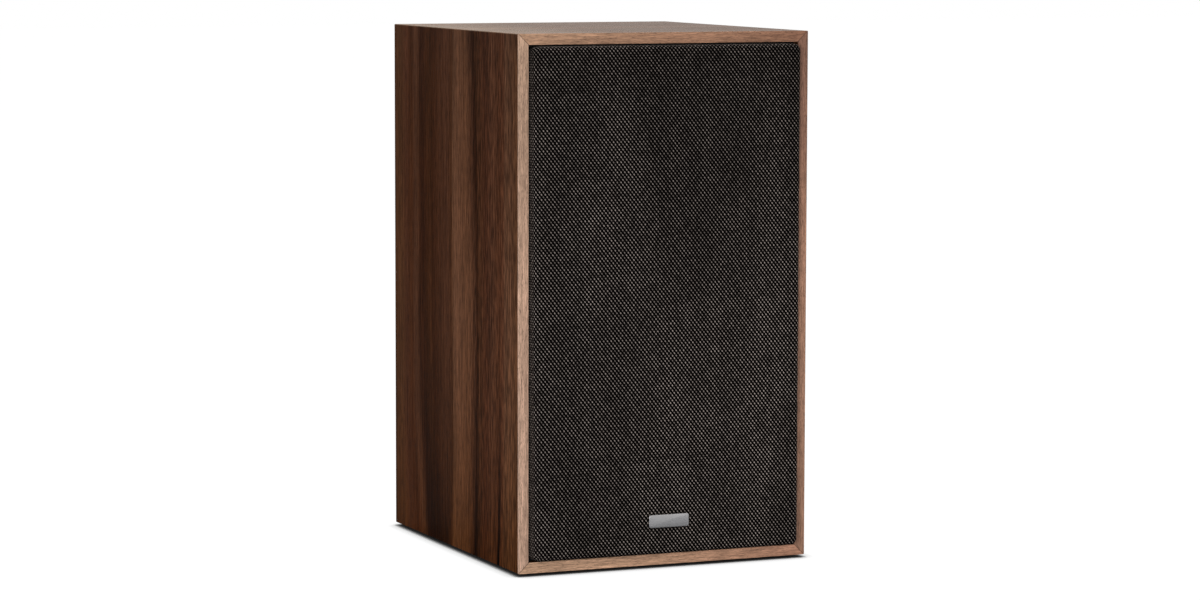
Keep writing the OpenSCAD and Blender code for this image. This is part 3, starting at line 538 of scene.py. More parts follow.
def walnut_veneer():
    """Veneer wrapped round the cabinet: tones change from back to front, grain runs round."""
    f = Finish("walnut_veneer", Roughness=0.22, IOR=1.03)
    x, y, z = f.axes()
    across = f.spread(y, rim_back, rim_front)
    rise = f.spread(z, cabinet_low[2], cabinet_high[2])

    # Some bands lean, on the way down and again near the foot
    falling = f.level(rise, (0, 1), (0.52, 1), (0.8, 0.5), (1, 0))
    fall = f.level(across, (0, 0), (0.5, 0), (0.61, 0.028), (0.67, 0.042), (0.76, 0.012), (0.86, 0), (1, 0))
    footing = f.level(rise, (0, 1), (0.1, 0.66), (0.25, 0.24), (0.45, 0), (1, 0))
    foot = f.level(
        across, (0, 0.01), (0.1, 0.03), (0.25, 0.075), (0.33, 0.06), (0.46, 0), (0.6, 0),
        (0.66, -0.022), (0.86, -0.02), (1, 0),
    )
    lean = f.plus(f.times(falling, fall), f.times(footing, foot))
    waver = f.noise((7, 30, 7), 2)
    band = f.plus(f.minus(across, lean), f.spread(waver, 0.25, 0.75, -0.007, 0.007))
    tone = f.tones(band, *VENEER_BANDS)

    # The front half is palest at mid height; a dark flame and a thin seam come in at the foot
    front = f.level(across, (0, 0.15), (0.45, 0.3), (0.5, 1), (1, 1))
    glow = f.level(rise, (0, -0.16), (0.12, 0), (0.4, 0.14), (0.6, 0.06), (0.8, 0), (1, -0.2))
    flame = f.level(
        band, (0, 0), (0.17, 0), (0.2, 0.5), (0.24, 0.9), (0.3, 1), (0.43, 1), (0.47, 0.5), (0.49, 0),
        (0.62, 0), (0.65, 1), (0.69, 0), (1, 0),
    )
    flaming = f.level(rise, (0, -0.62), (0.06, -0.54), (0.17, -0.3), (0.35, -0.12), (0.48, 0), (1, 0))
    seam = f.level(band, (0, 0), (0.852, 0), (0.857, 1), (0.869, 1), (0.874, 0), (1, 0))
    seaming = f.level(rise, (0, -0.85), (0.15, -0.7), (0.4, 0), (1, 0))
    lift = 1.0
    for where, amount in ((front, glow), (flame, flaming), (seam, seaming)):
        lift = f.plus(lift, f.times(where, amount))
    tone = f.shade(tone, lift, 0, 2, 0, 2)
    redder = f.blend(footing, (0.91, 0.96, 1.13, 1), (0.9, 0.77, 0.56, 1))
    tone = f.blend(1.0, tone, redder, "MULTIPLY")

    # Fibre: broad clouds, long grain, short flecks that are strongest at the front, and pores
    broad = f.noise((8, 95, 8), 4, 0.55)
    tone = f.shade(tone, broad, 0.36, 0.64, 0.84, 1.14)
    grain = f.noise((22, 760, 22), 4, 0.65)
    tone = f.shade(tone, grain, 0.36, 0.64, 0.7, 1.26)
    flecks = f.shade(tone, f.noise((75, 480, 75), 2), 0.38, 0.62, 0.62, 1.38)
    flecked = f.level(across, (0, 0.2), (0.4, 0.4), (0.6, 0.4), (0.68, 1), (1, 1))
    tone = f.blend(flecked, tone, flecks)
    pores = f.noise((130, 2600, 130), 2)
    tone = f.shade(tone, pores, 0.54, 0.64, 1.05, 0.45)
    # The top is plainer, with a painted sheen that makes it paler towards its left, where the light catches
    # it
    along = f.spread(x, -cabinet_half_w, cabinet_half_w)
    plain_top_with_painted_sheen = f.tones(along, (0, 124, 104, 85), (0.15, 108, 86, 67), (0.36, 80, 57, 39), (1, 72, 50, 33))
    on_top = f.spread(z, cabinet_high[2] - 0.6 * MM, cabinet_high[2] - 0.2 * MM, 0, 0.55)
    tone = f.blend(on_top, tone, plain_top_with_painted_sheen)
    # The panels' back ends show their stained core, not the veneer
    core = f.shade(paint(44, 31, 24), f.noise(900, 3, 0.6), 0.36, 0.64, 0.8, 1.2)
    tone = f.blend(f.spread(y, rim_back - 0.3 * MM, rim_back - 0.1 * MM), tone, core)
    # Between the baffle and the rear panel the inner faces are bare board
    inside = f.spread(f.math("MINIMUM", *skin_depths(f)), 1 * MM, 2 * MM)
    inside = f.times(inside, f.spread(y, baffle_back, baffle_back + 0.1 * MM))
    inside = f.times(inside, f.spread(y, rear_front, rear_front - 0.1 * MM))
    f.colour(f.blend(inside, tone, sawn(f)[0]))
    f.roughness(grain, 0.2, 0.3, 0.35, 0.65)
    return f.relief(f.minus(grain, f.spread(pores, 0.55, 0.7)), 0.05 * MM, 0.4)


def edging_veneer(name, upright, *colours):
    """A pale front strip with the grain along it. colours, which carry painted light and shade, run evenly
    from its low or left end.
    """
    f = Finish(name, Roughness=0.5, IOR=1.25)
    x, _, z = f.axes()
    if upright:
        along = f.spread(z, cabinet_low[2], cabinet_high[2])
    else:
        along = f.spread(x, -cabinet_half_w, cabinet_half_w)

    def fibres(thin, long, detail, roughness=0.5):
        scales = (thin, thin, long) if upright else (long, thin, thin)
        return f.noise(scales, detail, roughness)

    tone = f.tones(along, *((i / (len(colours) - 1), *colour) for i, colour in enumerate(colours)))
    tone = f.shade(tone, fibres(260, 12, 4, 0.65), 0.36, 0.64, 0.78, 1.22)
    grain = fibres(1500, 80, 3)
    tone = f.shade(tone, grain, 0.36, 0.64, 0.7, 1.3)
    tone = f.shade(tone, fibres(3800, 380, 1), 0.56, 0.66, 1.06, 0.52)
    f.colour(f.blend(f.times(mitre_line(f), 0.75), tone, paint(48, 30, 20)))
    return f.relief(grain, 0.05 * MM, 0.4)


def bare_board():
    f = Finish("bare_board", Roughness=0.85, IOR=1.4)
    tone, fibres = sawn(f)
    f.colour(tone)
    return f.relief(fibres, 0.15 * MM, 0.6)


def black_board():
    """Fibreboard under black lacquer, with a faint orange peel."""
    f = Finish("black_board", Roughness=0.42, IOR=1.25)
    dust = f.noise(2600, 2)
    f.tint((27, 27, 28), dust, 0.75, 1.3, high=0.75)
    f.roughness(dust, 0.36, 0.5)
    return f.relief(f.noise(420, 2), 0.12 * MM, 0.35)


# -------- plastics, rubber and metal


def moulded(name, colour, rough, grain_scale=1800, depth=0.06 * MM, ior=1.3):
    """A moulded part with a fine spark-eroded texture."""
    f = Finish(name, Roughness=rough, IOR=ior)
    grain = f.noise(grain_scale, 3, 0.6)
    cloud = f.noise(35, 2)
    f.tint(colour, f.plus(f.times(grain, 0.6), f.times(cloud, 0.4)), 0.88, 1.12, 0.35, 0.65)
    f.roughness(grain, rough - 0.07, rough + 0.07)
    return f.relief(grain, depth, 0.5)


def rubber(name, colour, rough):
    f = Finish(name, Roughness=rough, IOR=1.3)
    bloom = f.noise(60, 3)
    f.tint(colour, bloom, 0.85, 1.25)
    f.roughness(bloom, rough - 0.08, rough + 0.06)
    return f.relief(f.noise(1300, 3, 0.65), 0.05 * MM, 0.4)


def metal(name, colour, rough, scale=(600, 600, 600), depth=0.02 * MM):
    """Bare or plated metal with fine tool marks."""
    f = Finish(name, Metallic=1.0, Roughness=rough)
    marks = f.noise(scale, 3, 0.6)
    f.tint(colour, f.noise(45, 2), 0.9, 1.06)
    f.roughness(marks, rough - 0.07, rough + 0.1)
    return f.relief(marks, depth, 0.4)


def powder_coat(name, colour, rough):
    f = Finish(name, Roughness=rough, IOR=1.3)
    orange_peel = f.noise(1100, 2)
    f.tint(colour, orange_peel, 0.85, 1.15)
    return f.relief(orange_peel, 0.08 * MM, 0.6)


def ferrite():
    f = Finish("ferrite", Roughness=0.6, IOR=1.6)
    grit = f.noise(700, 4, 0.7)
    f.tint((78, 78, 82), grit, 0.8, 1.15)
    return f.relief(grit, 0.08 * MM, 0.5)


def wound_wire():
    """Enamelled wire laid turn by turn."""
    f = Finish("copper", Metallic=0.85, Roughness=0.32)
    _, y, z = f.axes()
    turns = f.math("SINE", f.times(f.plus(y, z), 2 * math.pi / (0.7 * MM)))
    f.tint((186, 104, 62), turns, 0.55, 1.1, -1, 1)
    return f.relief(turns, 0.15 * MM, 0.7)


def enamelled_wire():
    """Copper under clear enamel, a little darker here and there."""
    f = Finish("enamelled_wire", Metallic=0.9, Roughness=0.28)
    f.tint((196, 110, 66), f.noise(160, 3), 0.75, 1.1, 0.36, 0.64)
    return f.relief(f.noise(1800, 2), 0.01 * MM, 0.3)


def cone_fibre():
    """Pressed cone material with a felted surface."""
    f = Finish("cone_paper", Roughness=0.6, IOR=1.4)
    felt = f.noise((900, 900, 900), 4, 0.7, 1.2)
    f.tint((48, 48, 50), felt, 0.75, 1.3)
    return f.relief(felt, 0.1 * MM, 0.5)


def doped_cloth():
    """Thin woven cloth, stiffened with resin."""
    f = Finish("spider_cloth", Roughness=0.7, IOR=1.4, Sheen_Weight=0.2)
    x, _, z = f.axes()
    pitch = 2 * math.pi / (0.6 * MM)
    weave = f.times(f.math("SINE", f.times(x, pitch)), f.math("SINE", f.times(z, pitch)))
    f.tint((46, 42, 39), weave, 0.7, 1.3, -1, 1)
    return f.relief(weave, 0.1 * MM, 0.5)


def circuit_board():
    """Glass-fibre board under solder mask, with paler tracks."""
    f = Finish("circuit_board", Roughness=0.4, IOR=1.5)
    sizes = {"Scale": 21.0, "Mortar Size": 0.02, "Brick Width": 0.62, "Row Height": 0.31}
    colours = {"Color1": paint(38, 104, 62), "Color2": paint(44, 112, 68), "Mortar": paint(18, 66, 38)}
    shifts = {"offset": 0.31, "squash": 1.7, "squash_frequency": 3}
    tracks = f.get("TexBrick", {"Vector": f.place, **sizes, **colours}, **shifts)
    fibres = f.noise(1400, 2)
    f.colour(f.shade(tracks, fibres, 0.3, 0.7, 0.9, 1.1))
    return f.relief(fibres, 0.03 * MM, 0.3)


def wadding_fibre():
    """Loose white fibre."""
    f = Finish("wadding", Roughness=0.95, IOR=1.3, Sheen_Weight=0.4)
    tufts = f.noise(130, 5, 0.7, 1.5)
    strands = f.noise(900, 4, 0.8, 2.0)
    f.tint((226, 222, 214), tufts, 0.82, 1.08)
    return f.relief(f.plus(tufts, f.times(strands, 0.4)), 1.2 * MM, 0.8)


# -------- screws

CROWN_STEPS = ((0.22, 0.94), (0.18, 0.84), (0.1, 0.7))  # a head's rise and how much it narrows


def screw_rule(material, sunk=False):
    """A screw at each point: a crowned head with a six-sided socket, or a sunk head with a cross.

    The points are under the crowned heads and on top of the sunk ones.
    """
    rule = Rule(
        "sunk_screws" if sunk else "socket_screws",
        Head_radius=3.0 * MM,
        Head_height=2.0 * MM,
        Recess=1.4 * MM,
        Shank_radius=1.5 * MM,
        Shank_length=12.0 * MM,
        Axis=(0.0, 0.0, 1.0),
        Seed=3,
    )
    size = rule.sizes
    height, radius, recess = size["Head height"], size["Head radius"], size["Recess"]
    length, thin = size["Shank length"], size["Shank radius"]
    shank = rule.get("MeshCylinder", {"Vertices": 20, "Radius": thin, "Depth": length})
    if sunk:
        cone = {"Vertices": 32, "Radius Top": radius, "Radius Bottom": thin, "Depth": height}
        head = rule.move(rule.get("MeshCone", cone), rule.times(height, -1.0))
        arm, span = rule.times(recess, 0.42), rule.times(recess, 2.0)
        bars = [rule.xyz(X=x, Y=y, Z=height) for x, y in ((span, arm), (arm, span))]
        tools = [rule.move(rule.get("MeshCube", {"Size": bar}), rule.times(height, -0.2)) for bar in bars]
        drop = rule.plus(rule.times(rule.plus(length, height), -1.0), rule.times(length, 0.5))
    else:
        side = rule.times(height, 0.5)
        grown = rule.add("MeshCylinder", {"Vertices": 32, "Radius": radius, "Depth": side})
        head, crown = grown.outputs["Mesh"], grown.outputs["Top"]
        for rise, narrow in CROWN_STEPS:
            step = {"Mesh": head, "Selection": crown, "Offset Scale": rule.times(height, rise)}
            grown = rule.add("ExtrudeMesh", step)
            crown = grown.outputs["Top"]
            taper = {"Geometry": grown.outputs["Mesh"], "Selection": crown, "Scale": narrow}
            head = rule.get("ScaleElements", taper)
        head = rule.move(head, rule.times(side, 0.5))
        socket = rule.get("MeshCylinder", {"Vertices": 6, "Radius": recess, "Depth": height})
        tools = [rule.move(socket, rule.times(height, 0.9))]
        drop = rule.times(length, -0.5)
    cut = rule.add("MeshBoolean", {"Mesh 1": head}, operation="DIFFERENCE", solver="EXACT")
    for tool in tools:
        rule.put(cut.inputs["Mesh 2"], tool)
    whole = rule.add("JoinGeometry")
    for part in (cut.outputs[0], rule.move(shank, drop)):
        rule.put(whole.inputs[0], part)
    spin = rule.add("FunctionNodeRandomValue", {"Min": 0.0, "Max": math.tau, "Seed": size["Seed"]})
    turn = rule.get("FunctionNodeEulerToRotation", {0: rule.xyz(Z=spin.outputs[1])})
    return rule.lay(whole.outputs[0], rule.along(size["Axis"], turn), material)


def drive_screws(rule, node, axis, sunk=False):
    """Puts modelled screws in the seats of a CAD node's plain ones. axis points out of the head."""
    axis = np.array(axis, float)
    seats = []
    for corner in solids(node):
        along = corner @ axis
        middle = (corner.min(0) + corner.max(0)) / 2
        flat = (corner - middle) - np.outer((corner - middle) @ axis, axis)
        away = np.linalg.norm(flat, axis=1)
        head_radius = away.max()
        shank_radius = away[along < along.min() + 0.05 * MM].max()
        if sunk:
            under = along[abs(away - shank_radius) < 0.05 * MM].max()
        else:
            under = along[away > head_radius * 0.98].min()
        seats.append(middle - axis * (middle @ axis) + axis * (along.max() if sunk else under))
    # A node's screws are all alike, so the last one gives the sizes
    sizes = {
        "Head_radius": head_radius,
        "Head_height": along.max() - under,
        "Recess": head_radius * (0.6 if sunk else 0.45),
        "Shank_radius": shank_radius,
        "Shank_length": under - along.min(),
    }
    sizes = {label: float(value) for label, value in sizes.items()}
    piece = rule.run(node + "_driven", seat_points(node, seats), Axis=tuple(axis), Seed=len(seats), **sizes)
    smooth(piece, 32)
    stand_for(piece, node)


# -------- grille cloth

WARP_PITCH = 1.40 * MM  # from one upright yarn to the next
WEFT_PITCH = 1.73 * MM  # from one level yarn to the next
YARN_RISE = 0.20 * MM  # a warp yarn's crown above the middle of the cloth
YARN_SINK = 0.30 * MM  # the holes between four yarns below it
CLOTH_T = 0.8 * MM
GATHER = 4 * MM  # how far into a corner the cloth takes to gather up
# Uneven yarn and stretch: how fast each pattern changes along the cloth and up it, and how strong it is
UNEVEN = (
    (0.028, 0.006, 0.28),  # broad upright streaks
    (0.012, 0.2, 0.08),  # thin level ones
    (0.06, 0.05, 0.12),  # small patches
)


def grille_yarn():
    """Black cloth whose upright yarns carry a grey fleck where they pass in front: a painted glint on the
    crown.
    """
    f = Finish("speaker_cloth", uv=True, Roughness=0.7, IOR=1.02)
    u, v, _ = f.axes()
    column, row = f.math("ROUND", u), f.math("ROUND", v)
    in_u, in_v = f.minus(u, column), f.minus(v, row)
    odd = f.odd(column, row)
    crossing = f.get("CombineXYZ", {0: column, 1: row})
    lot = f.get("TexWhiteNoise", {"Vector": crossing}, noise_dimensions="3D")

    # The yarns are twisted, so a crown and its painted glint lie askew
    down = f.times(f.minus(in_u, in_v), math.sqrt(0.5))
    up = f.times(f.plus(in_u, in_v), math.sqrt(0.5))

    def oval(long, wide, inner):
        a = f.math("POWER", f.math("DIVIDE", down, long), 2.0)
        b = f.math("POWER", f.math("DIVIDE", up, wide), 2.0)
        return f.spread(f.plus(a, b), inner, 1.0, 1, 0)

    # Painted highlight: the glint on each upright yarn's crown, whose shape also gives the bump
    crown_glint = f.times(oval(0.55, 0.32, 0.4), f.minus(1.0, odd))
    cord = f.times(oval(0.62, 0.5, 0.2), odd)
    glint_strength = f.spread(lot, 0, 1, 0.55, 1.25)
    for across, upward, uneven in UNEVEN:
        streak = f.noise((across, upward, 1), 2)
        glint_strength = f.times(glint_strength, f.spread(streak, 0.3, 0.7, 1 - uneven, 1 + uneven))
    # Painted shade: the glints grow dimmer towards the top of the cloth
    _, _, z = f.axes(f.add("TexCoord").outputs["Object"])
    glint_strength = f.times(glint_strength, f.spread(z, cabinet_high[2], cabinet_middle_z, 0.62, 1.0))
    base = f.blend(cord, paint(3, 2, 2), paint(8, 7, 7))
    # The black yarns with their painted grey glints
    f.colour(f.blend(crown_glint, base, f.shade(paint(135, 125, 119), glint_strength, 0, 2, 0, 2)))
    return f.relief(f.plus(crown_glint, f.times(cord, 0.5)), 0.3 * MM, 0.6)


class GrilleSheet:
    """Where a place on the flat cloth lies once it is stretched over the grille's frame.

    out is the distance along the cloth from the line where the frame's corners begin to round:
    over the front edge, back along the side and in behind the frame."""

    def __init__(self):
        low, high = corners("grille_cloth")
        self.front, self.back = low[1], high[1]
        self.corner, self.edge, self.hem = 5 * MM, 3 * MM, CLOTH_T
        self.middle = ((low + high) / 2)[[0, 2]]
        self.half = np.array([high[0] - low[0], high[2] - low[2]]) / 2 - self.corner
        flat = self.corner - self.edge
        wall = self.back - self.front - self.edge - self.hem
        lengths = [flat, self.edge * math.pi / 2, wall, self.hem * math.pi / 2, self.corner - self.hem]
        self.steps = np.cumsum([0, *lengths])
        self.steps[-1] -= 0.3 * MM

    def profile(self, out):
        """Distance out in plan, depth, and the two parts of the surface's outward direction."""
        start = self.steps
        turn = np.clip((out - start[1]) / self.edge, 0, math.pi / 2)
        tuck = np.clip((out - start[3]) / self.hem, 0, math.pi / 2)
        plan = (
            np.clip(out, 0, start[1])
            + self.edge * np.sin(turn)
            - self.hem * (1 - np.cos(tuck))
            - np.clip(out - start[4], 0, None)
        )
        depth = (
            self.front
            + self.edge * (1 - np.cos(turn))
            + np.clip(out - start[2], 0, start[3] - start[2])
            + self.hem * np.sin(tuck)
        )
        angle = turn + tuck
        return plan, depth, np.sin(angle), -np.cos(angle)

    def place(self, flat, lift):
        """Where flat places, measured from the cloth's middle, lie when lifted off the frame.

        Also gives how gathered the cloth is there, from 0 to 1."""
        held = np.clip(flat, -self.half, self.half)
        over = flat - held
        away = np.abs(over)
        out, small = away.max(-1), away.min(-1)
        # A square corner of the flat cloth closes up into a quarter turn
        share = np.divide(small, out, out=np.zeros_like(out), where=out > 0)
        angle = share * math.pi / 4
        angle = np.where(away[..., 1] > away[..., 0], math.pi / 2 - angle, angle)
        direction = np.stack([np.cos(angle), np.sin(angle)], -1) * np.sign(over)
        plan, depth, outward, forward = self.profile(out)
        spot = self.middle + held + direction * (plan + lift * outward)[..., None]
        place = np.stack([spot[..., 0], depth + lift * forward, spot[..., 1]], -1)
        return place, np.clip(small / GATHER, 0, 1)


def keep_value(mesh, name, kind, domain, field, values):
    """Stores a value for each point or face of a mesh."""
    mesh.attributes.new(name, kind, domain).data.foreach_set(field, values)


def stretched_cloth():
    """The cloth before its weave shows: one face for each crossing of two yarns, and a plain inner side.

    Each point keeps its place on the flat cloth, counted in yarns, and how free it is to rise or
    sink: less where the cloth is gathered at the frame's corners, and not at all at its hem."""
    sheet = GrilleSheet()
    reach = sheet.half + sheet.steps[-1]
    lines = []
    for far, pitch in zip(reach, (WARP_PITCH, WEFT_PITCH)):
        count = int(far / pitch)
        line = (np.arange(-count, count + 2) - 0.5) * pitch
        line[0], line[-1] = -far, far
        lines.append(line)
    flat = np.stack(np.meshgrid(*lines, indexing="ij"), -1)
    outer, gathered = sheet.place(flat, 0)
    room = 1 - 0.8 * gathered
    room[[0, -1], :] = 0
    room[:, [0, -1]] = 0
    index = np.arange(room.size).reshape(room.shape)
    crossings = np.stack([index[:-1, :-1], index[1:, :-1], index[1:, 1:], index[:-1, 1:]], -1).reshape(-1, 4)
    points, flats, rooms = [outer.reshape(-1, 3)], [flat.reshape(-1, 2)], [room.reshape(-1)]
    faces = crossings.tolist()

    # The side that lies on the frame is plain: rings of points from the hem in to the front
    hem = np.concatenate([index[:-1, 0], index[-1, :-1], index[:0:-1, -1], index[0, :0:-1]])
    held = np.clip(flats[0][hem], -sheet.half, sheet.half)
    over = flats[0][hem] - held
    steps = sheet.steps
    last, count = hem, room.size
    for out in (steps[5], steps[4], steps[3], steps[2], (steps[1] + steps[2]) / 2, steps[1]):
        flats.append(held + over * (out / steps[5]))
        points.append(sheet.place(flats[-1], -CLOTH_T)[0])
        rooms.append(np.zeros(len(hem)))
        now = count + np.arange(len(hem))
        count += len(hem)
        faces += np.stack([last, now, np.roll(now, -1), np.roll(last, -1)], -1).tolist()
        last = now
    faces.append(last[::-1].tolist())

    mesh = bpy.data.meshes.new("stretched_cloth")
    mesh.from_pydata(np.concatenate(points).tolist(), [], faces)
    yarns = np.concatenate(flats) / (WARP_PITCH, WEFT_PITCH)
    yarns = np.column_stack([yarns, np.zeros(len(yarns))])
    keep_value(mesh, "yarn", "FLOAT_VECTOR", "POINT", "vector", yarns.reshape(-1))
    keep_value(mesh, "room", "FLOAT", "POINT", "value", np.concatenate(rooms))
    keep_value(mesh, "woven", "BOOLEAN", "FACE", "value", np.arange(len(faces)) < len(crossings))
    return mesh, tuple(2 * reach)


def weave_rule(material):
    """Raises a crown on every crossing, sinks the gap between four yarns, and lays the yarns' own map."""
    rule = Rule("plain_weave", Crown=0.2 * MM, Behind=0.06 * MM, Gap=0.3 * MM)
    size = rule.sizes
    room = rule.attribute("room")
    yarn = rule.attribute("yarn", "FLOAT_VECTOR")
    outward = rule.get("InputNormal")
    sink = rule.scale(outward, rule.times(rule.times(size["Gap"], -1.0), room))
    cloth = rule.get("SetPosition", {"Geometry": size["Geometry"], "Offset": sink})

    split = rule.add("ShaderNodeSeparateXYZ", {0: yarn}).outputs
    odd = rule.odd(rule.math("ROUND", split[0]), rule.math("ROUND", split[1]))
    rise = rule.plus(rule.times(rule.minus(1.0, odd), size["Crown"]), rule.times(odd, size["Behind"]))
    rise = rule.scale(outward, rule.times(rise, room))
    kept = rule.add("CaptureAttribute", {"Geometry": cloth}, domain="FACE")
    for label, value in (("lift", rise), ("middle", yarn)):
        kept.capture_items.new("VECTOR", label)
        rule.put(kept.inputs[label], value)
    peaks = {"Mesh": kept.outputs["Geometry"], "Selection": rule.attribute("woven", "BOOLEAN")}
    peaks = rule.add("ExtrudeMesh", {**peaks, "Offset Scale": 0.0, "Individual": True})
    top = peaks.outputs["Top"]
    cloth = rule.get("ScaleElements", {"Geometry": peaks.outputs["Mesh"], "Selection": top, "Scale": 0.0})
    cloth = rule.get("SetPosition", {"Geometry": cloth, "Selection": top, "Offset": kept.outputs["lift"]})
    named = {"Geometry": cloth, "Selection": top, "Name": "yarn", "Value": kept.outputs["middle"]}
    cloth = rule.get("StoreNamedAttribute", named, data_type="FLOAT_VECTOR", domain="POINT")
    cloth = rule.get("MergeByDistance", {"Geometry": cloth, "Distance": 0.0005 * MM})
    named = {"Geometry": cloth, "Name": "yarns", "Value": yarn}
    cloth = rule.get("StoreNamedAttribute", named, data_type="FLOAT2", domain="CORNER")
    return rule.finish(cloth, material)


def make_cloth():
    flat_mesh, flat = stretched_cloth()
    cloth = weave_rule(grille_yarn()).run("grille_weave", flat_mesh, Crown=YARN_RISE, Gap=YARN_SINK)
    mesh = cloth.data
    for name in ("yarn", "room", "woven"):
        if name in mesh.attributes:
            mesh.attributes.remove(mesh.attributes[name])
    shade_smooth(mesh)
    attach(cloth, "grille")
    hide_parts("grille_cloth")


# -------- wadding

SWELL_FRAMES = 18
SWELL_MOST = 4 * MM
TUFT_WAVES = 14
TUFT_RISE = 0.35 * MM
SKIN = 0.05 * MM  # what a batt keeps clear of the edges of its place


def lay_wadding():
    """Four soft batts that lean on the side panels, in the places of the CAD's plain blocks."""
    finish = wadding_fibre()
    batts = []
    for corner in sorted(solids("damping_wadding"), key=lambda c: (c[:, 0].mean() > 0, c[:, 2].mean())):
        low, high = corner.min(0), corner.max(0)
        side = "left" if low[0] < 0 else "right"
        level = "low" if low[2] < cabinet_middle_z - 10 * MM else "high"
        batts.append((cut_batt(f"wadding_{side}_{level}", low, high), low, high))
    swell([batt for batt, _, _ in batts], pressure=3.0)
    for number, (batt, low, high) in enumerate(batts):
        tease(batt, low, high, seed=number)
        batt.data.materials.append(finish)
        smooth(batt, 180)
        stand_for(batt, "damping_wadding")


def cut_batt(name, low, high):
    """A block of batting with rounded corners, a little smaller than its place."""
    shrink = np.array([1.5, 4, 4]) * MM
    half, middle = (high - low) / 2 - shrink, (high + low) / 2
    bm = bmesh.new()
    bmesh.ops.create_cube(bm, size=2)
    batt = link(name, to_mesh(bm, name))
    cells = batt.modifiers.new("cells", "SUBSURF")
    cells.subdivision_type = "SIMPLE"
    cells.levels = cells.render_levels = 5
    dense = apply_modifiers(batt)
    place = points_of(dense)
    length = (np.abs(place) ** 10).sum(1) ** 0.1
    set_points(dense, middle + place / length[:, None] * half)
    return batt


def swell(pieces, pressure):
    """Blows closed cloth up from inside, and lets no point move further than a given way."""
    before = [points_of(piece.data) for piece in pieces]
    for piece in pieces:
        cloth = piece.modifiers.new("swell", "CLOTH").settings
        cloth.quality = 4
        cloth.mass = 0.2
        cloth.tension_stiffness = cloth.compression_stiffness = 8
        cloth.bending_stiffness = 2
        cloth.use_pressure = True
        cloth.uniform_pressure_force = pressure
        cloth.effector_weights.gravity = 0
    for frame in range(1, SWELL_FRAMES + 1):
        scene.frame_set(frame)
    graph = bpy.context.evaluated_depsgraph_get()
    after = [points_of(piece.evaluated_get(graph).data) for piece in pieces]
    for piece, old, new in zip(pieces, before, after):
        way = new - old
        far = np.linalg.norm(way, axis=1, keepdims=True)
        piece.modifiers.clear()
        set_points(piece.data, old + way * np.minimum(1, SWELL_MOST / np.maximum(far, 1e-9)))
    scene.frame_set(1)


def tease(batt, low, high, seed):
    """Pulls the batt's faces up into soft uneven tufts and keeps it inside its own place."""
    rng = np.random.default_rng(seed)
    place = points_of(batt.data)
    waves = rng.normal(0, 1, (TUFT_WAVES, 3))
    waves *= rng.uniform(60, 260, TUFT_WAVES)[:, None] / np.linalg.norm(waves, axis=1)[:, None]
    phase = rng.uniform(0, math.tau, TUFT_WAVES)
    tufts = np.zeros(len(place))
    for number, (wave, start) in enumerate(zip(waves, phase)):
        tufts += np.sin(place @ wave + start) / (1 + number / 4)
    normals = np.zeros(len(place) * 3)
    batt.data.vertices.foreach_get("normal", normals)
    place = place + normals.reshape(-1, 3) * (tufts * TUFT_RISE)[:, None]
    set_points(batt.data, np.clip(place, low + SKIN, high - SKIN))


# -------- softened parts and suspensions

LEDGE = 4.5 * MM  # the frame's ledges that the surround and the spider are glued to
NECK = 4 * MM  # the spider's inner ring, glued to the former
LEADS_START = 38 * MM  # the radius at which the tinsel leads leave the cone
DOME_CLAMP = 0.5 * MM  # the tweeter surround's outer ring, held between two plates


def soften(node, width=0, angle=35, bend=None):
    """Shows a copy of a CAD node with smooth shading, and with its edges rounded over.

    bend is a moving node and two radii round its axis, for a part that follows it inside the first
    and stays with the cabinet outside the second."""
    bm = merged(node, 0.005 * MM)
    if width:
        bmesh.ops.dissolve_limit(bm, angle_limit=math.radians(1), verts=bm.verts, edges=bm.edges)
        limit = math.radians(angle)
        sharp = [edge for edge in bm.edges if edge.is_manifold and edge.calc_face_angle() > limit]
        bmesh.ops.bevel(bm, geom=sharp, offset=width, segments=3, profile=0.5, affect="EDGES")
    mesh = to_mesh(bm, node)
    mesh.materials.append(nodes[node].data.materials[0])
    piece = link(node + "_finished", mesh)
    smooth(piece, angle)
    if bend:
        hang(piece, *bend)
    stand_for(piece, node)


def hang(piece, moving, inner, outer):
    """Bends a driver's suspension by radius: its points lie along one line while the bend is set."""
    low, high = corners(moving)
    place = points_of(piece.data)
    away = place - (low + high) / 2
    set_points(piece.data, np.outer(np.hypot(away[:, 0], away[:, 2]), (1, 0, 0)))
    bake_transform(piece, "cabinet", body_of(moving), start=(outer, 0, 0), end=(inner, 0, 0))
    set_points(piece.data, place)


# -------- crossover coils

COIL_WIRE = 1.2 * MM


def coil_rule(material):
    """Wire wound in layers on a drum: one spiral for each layer, from the inside out."""
    rule = Rule(
        "wound_coil",
        Wire=COIL_WIRE,
        Inner_radius=8.0 * MM,
        Layers=6,
        Turns=10,
        Axis=(0.0, 0.0, 1.0),
    )
    size = rule.sizes
    wire = size["Wire"]
    height = rule.times(wire, rule.minus(size["Turns"], 1.0))
    turn = {"Resolution": 28, "Rotations": size["Turns"], "Height": height}
    spiral = rule.get("CurveSpiral", {**turn, "Start Radius": 1.0, "End Radius": 1.0})
    layers = rule.get("Points", {"Count": size["Layers"]})
    out = rule.plus(size["Inner radius"], rule.times(rule.plus(rule.get("InputIndex"), 0.5), wire))
    wide = rule.xyz(X=out, Y=out, Z=1.0)
    layers = rule.get("InstanceOnPoints", {"Points": layers, "Instance": spiral, "Scale": wide})
    layers = rule.move(rule.get("RealizeInstances", {"Geometry": layers}), rule.times(height, -0.5))
    section = rule.get("CurvePrimitiveCircle", {"Resolution": 6, "Radius": rule.times(wire, 0.5)})
    coil = rule.get("CurveToMesh", {"Curve": layers, "Profile Curve": section, "Fill Caps": True})
    return rule.lay(coil, rule.along(size["Axis"]), material)


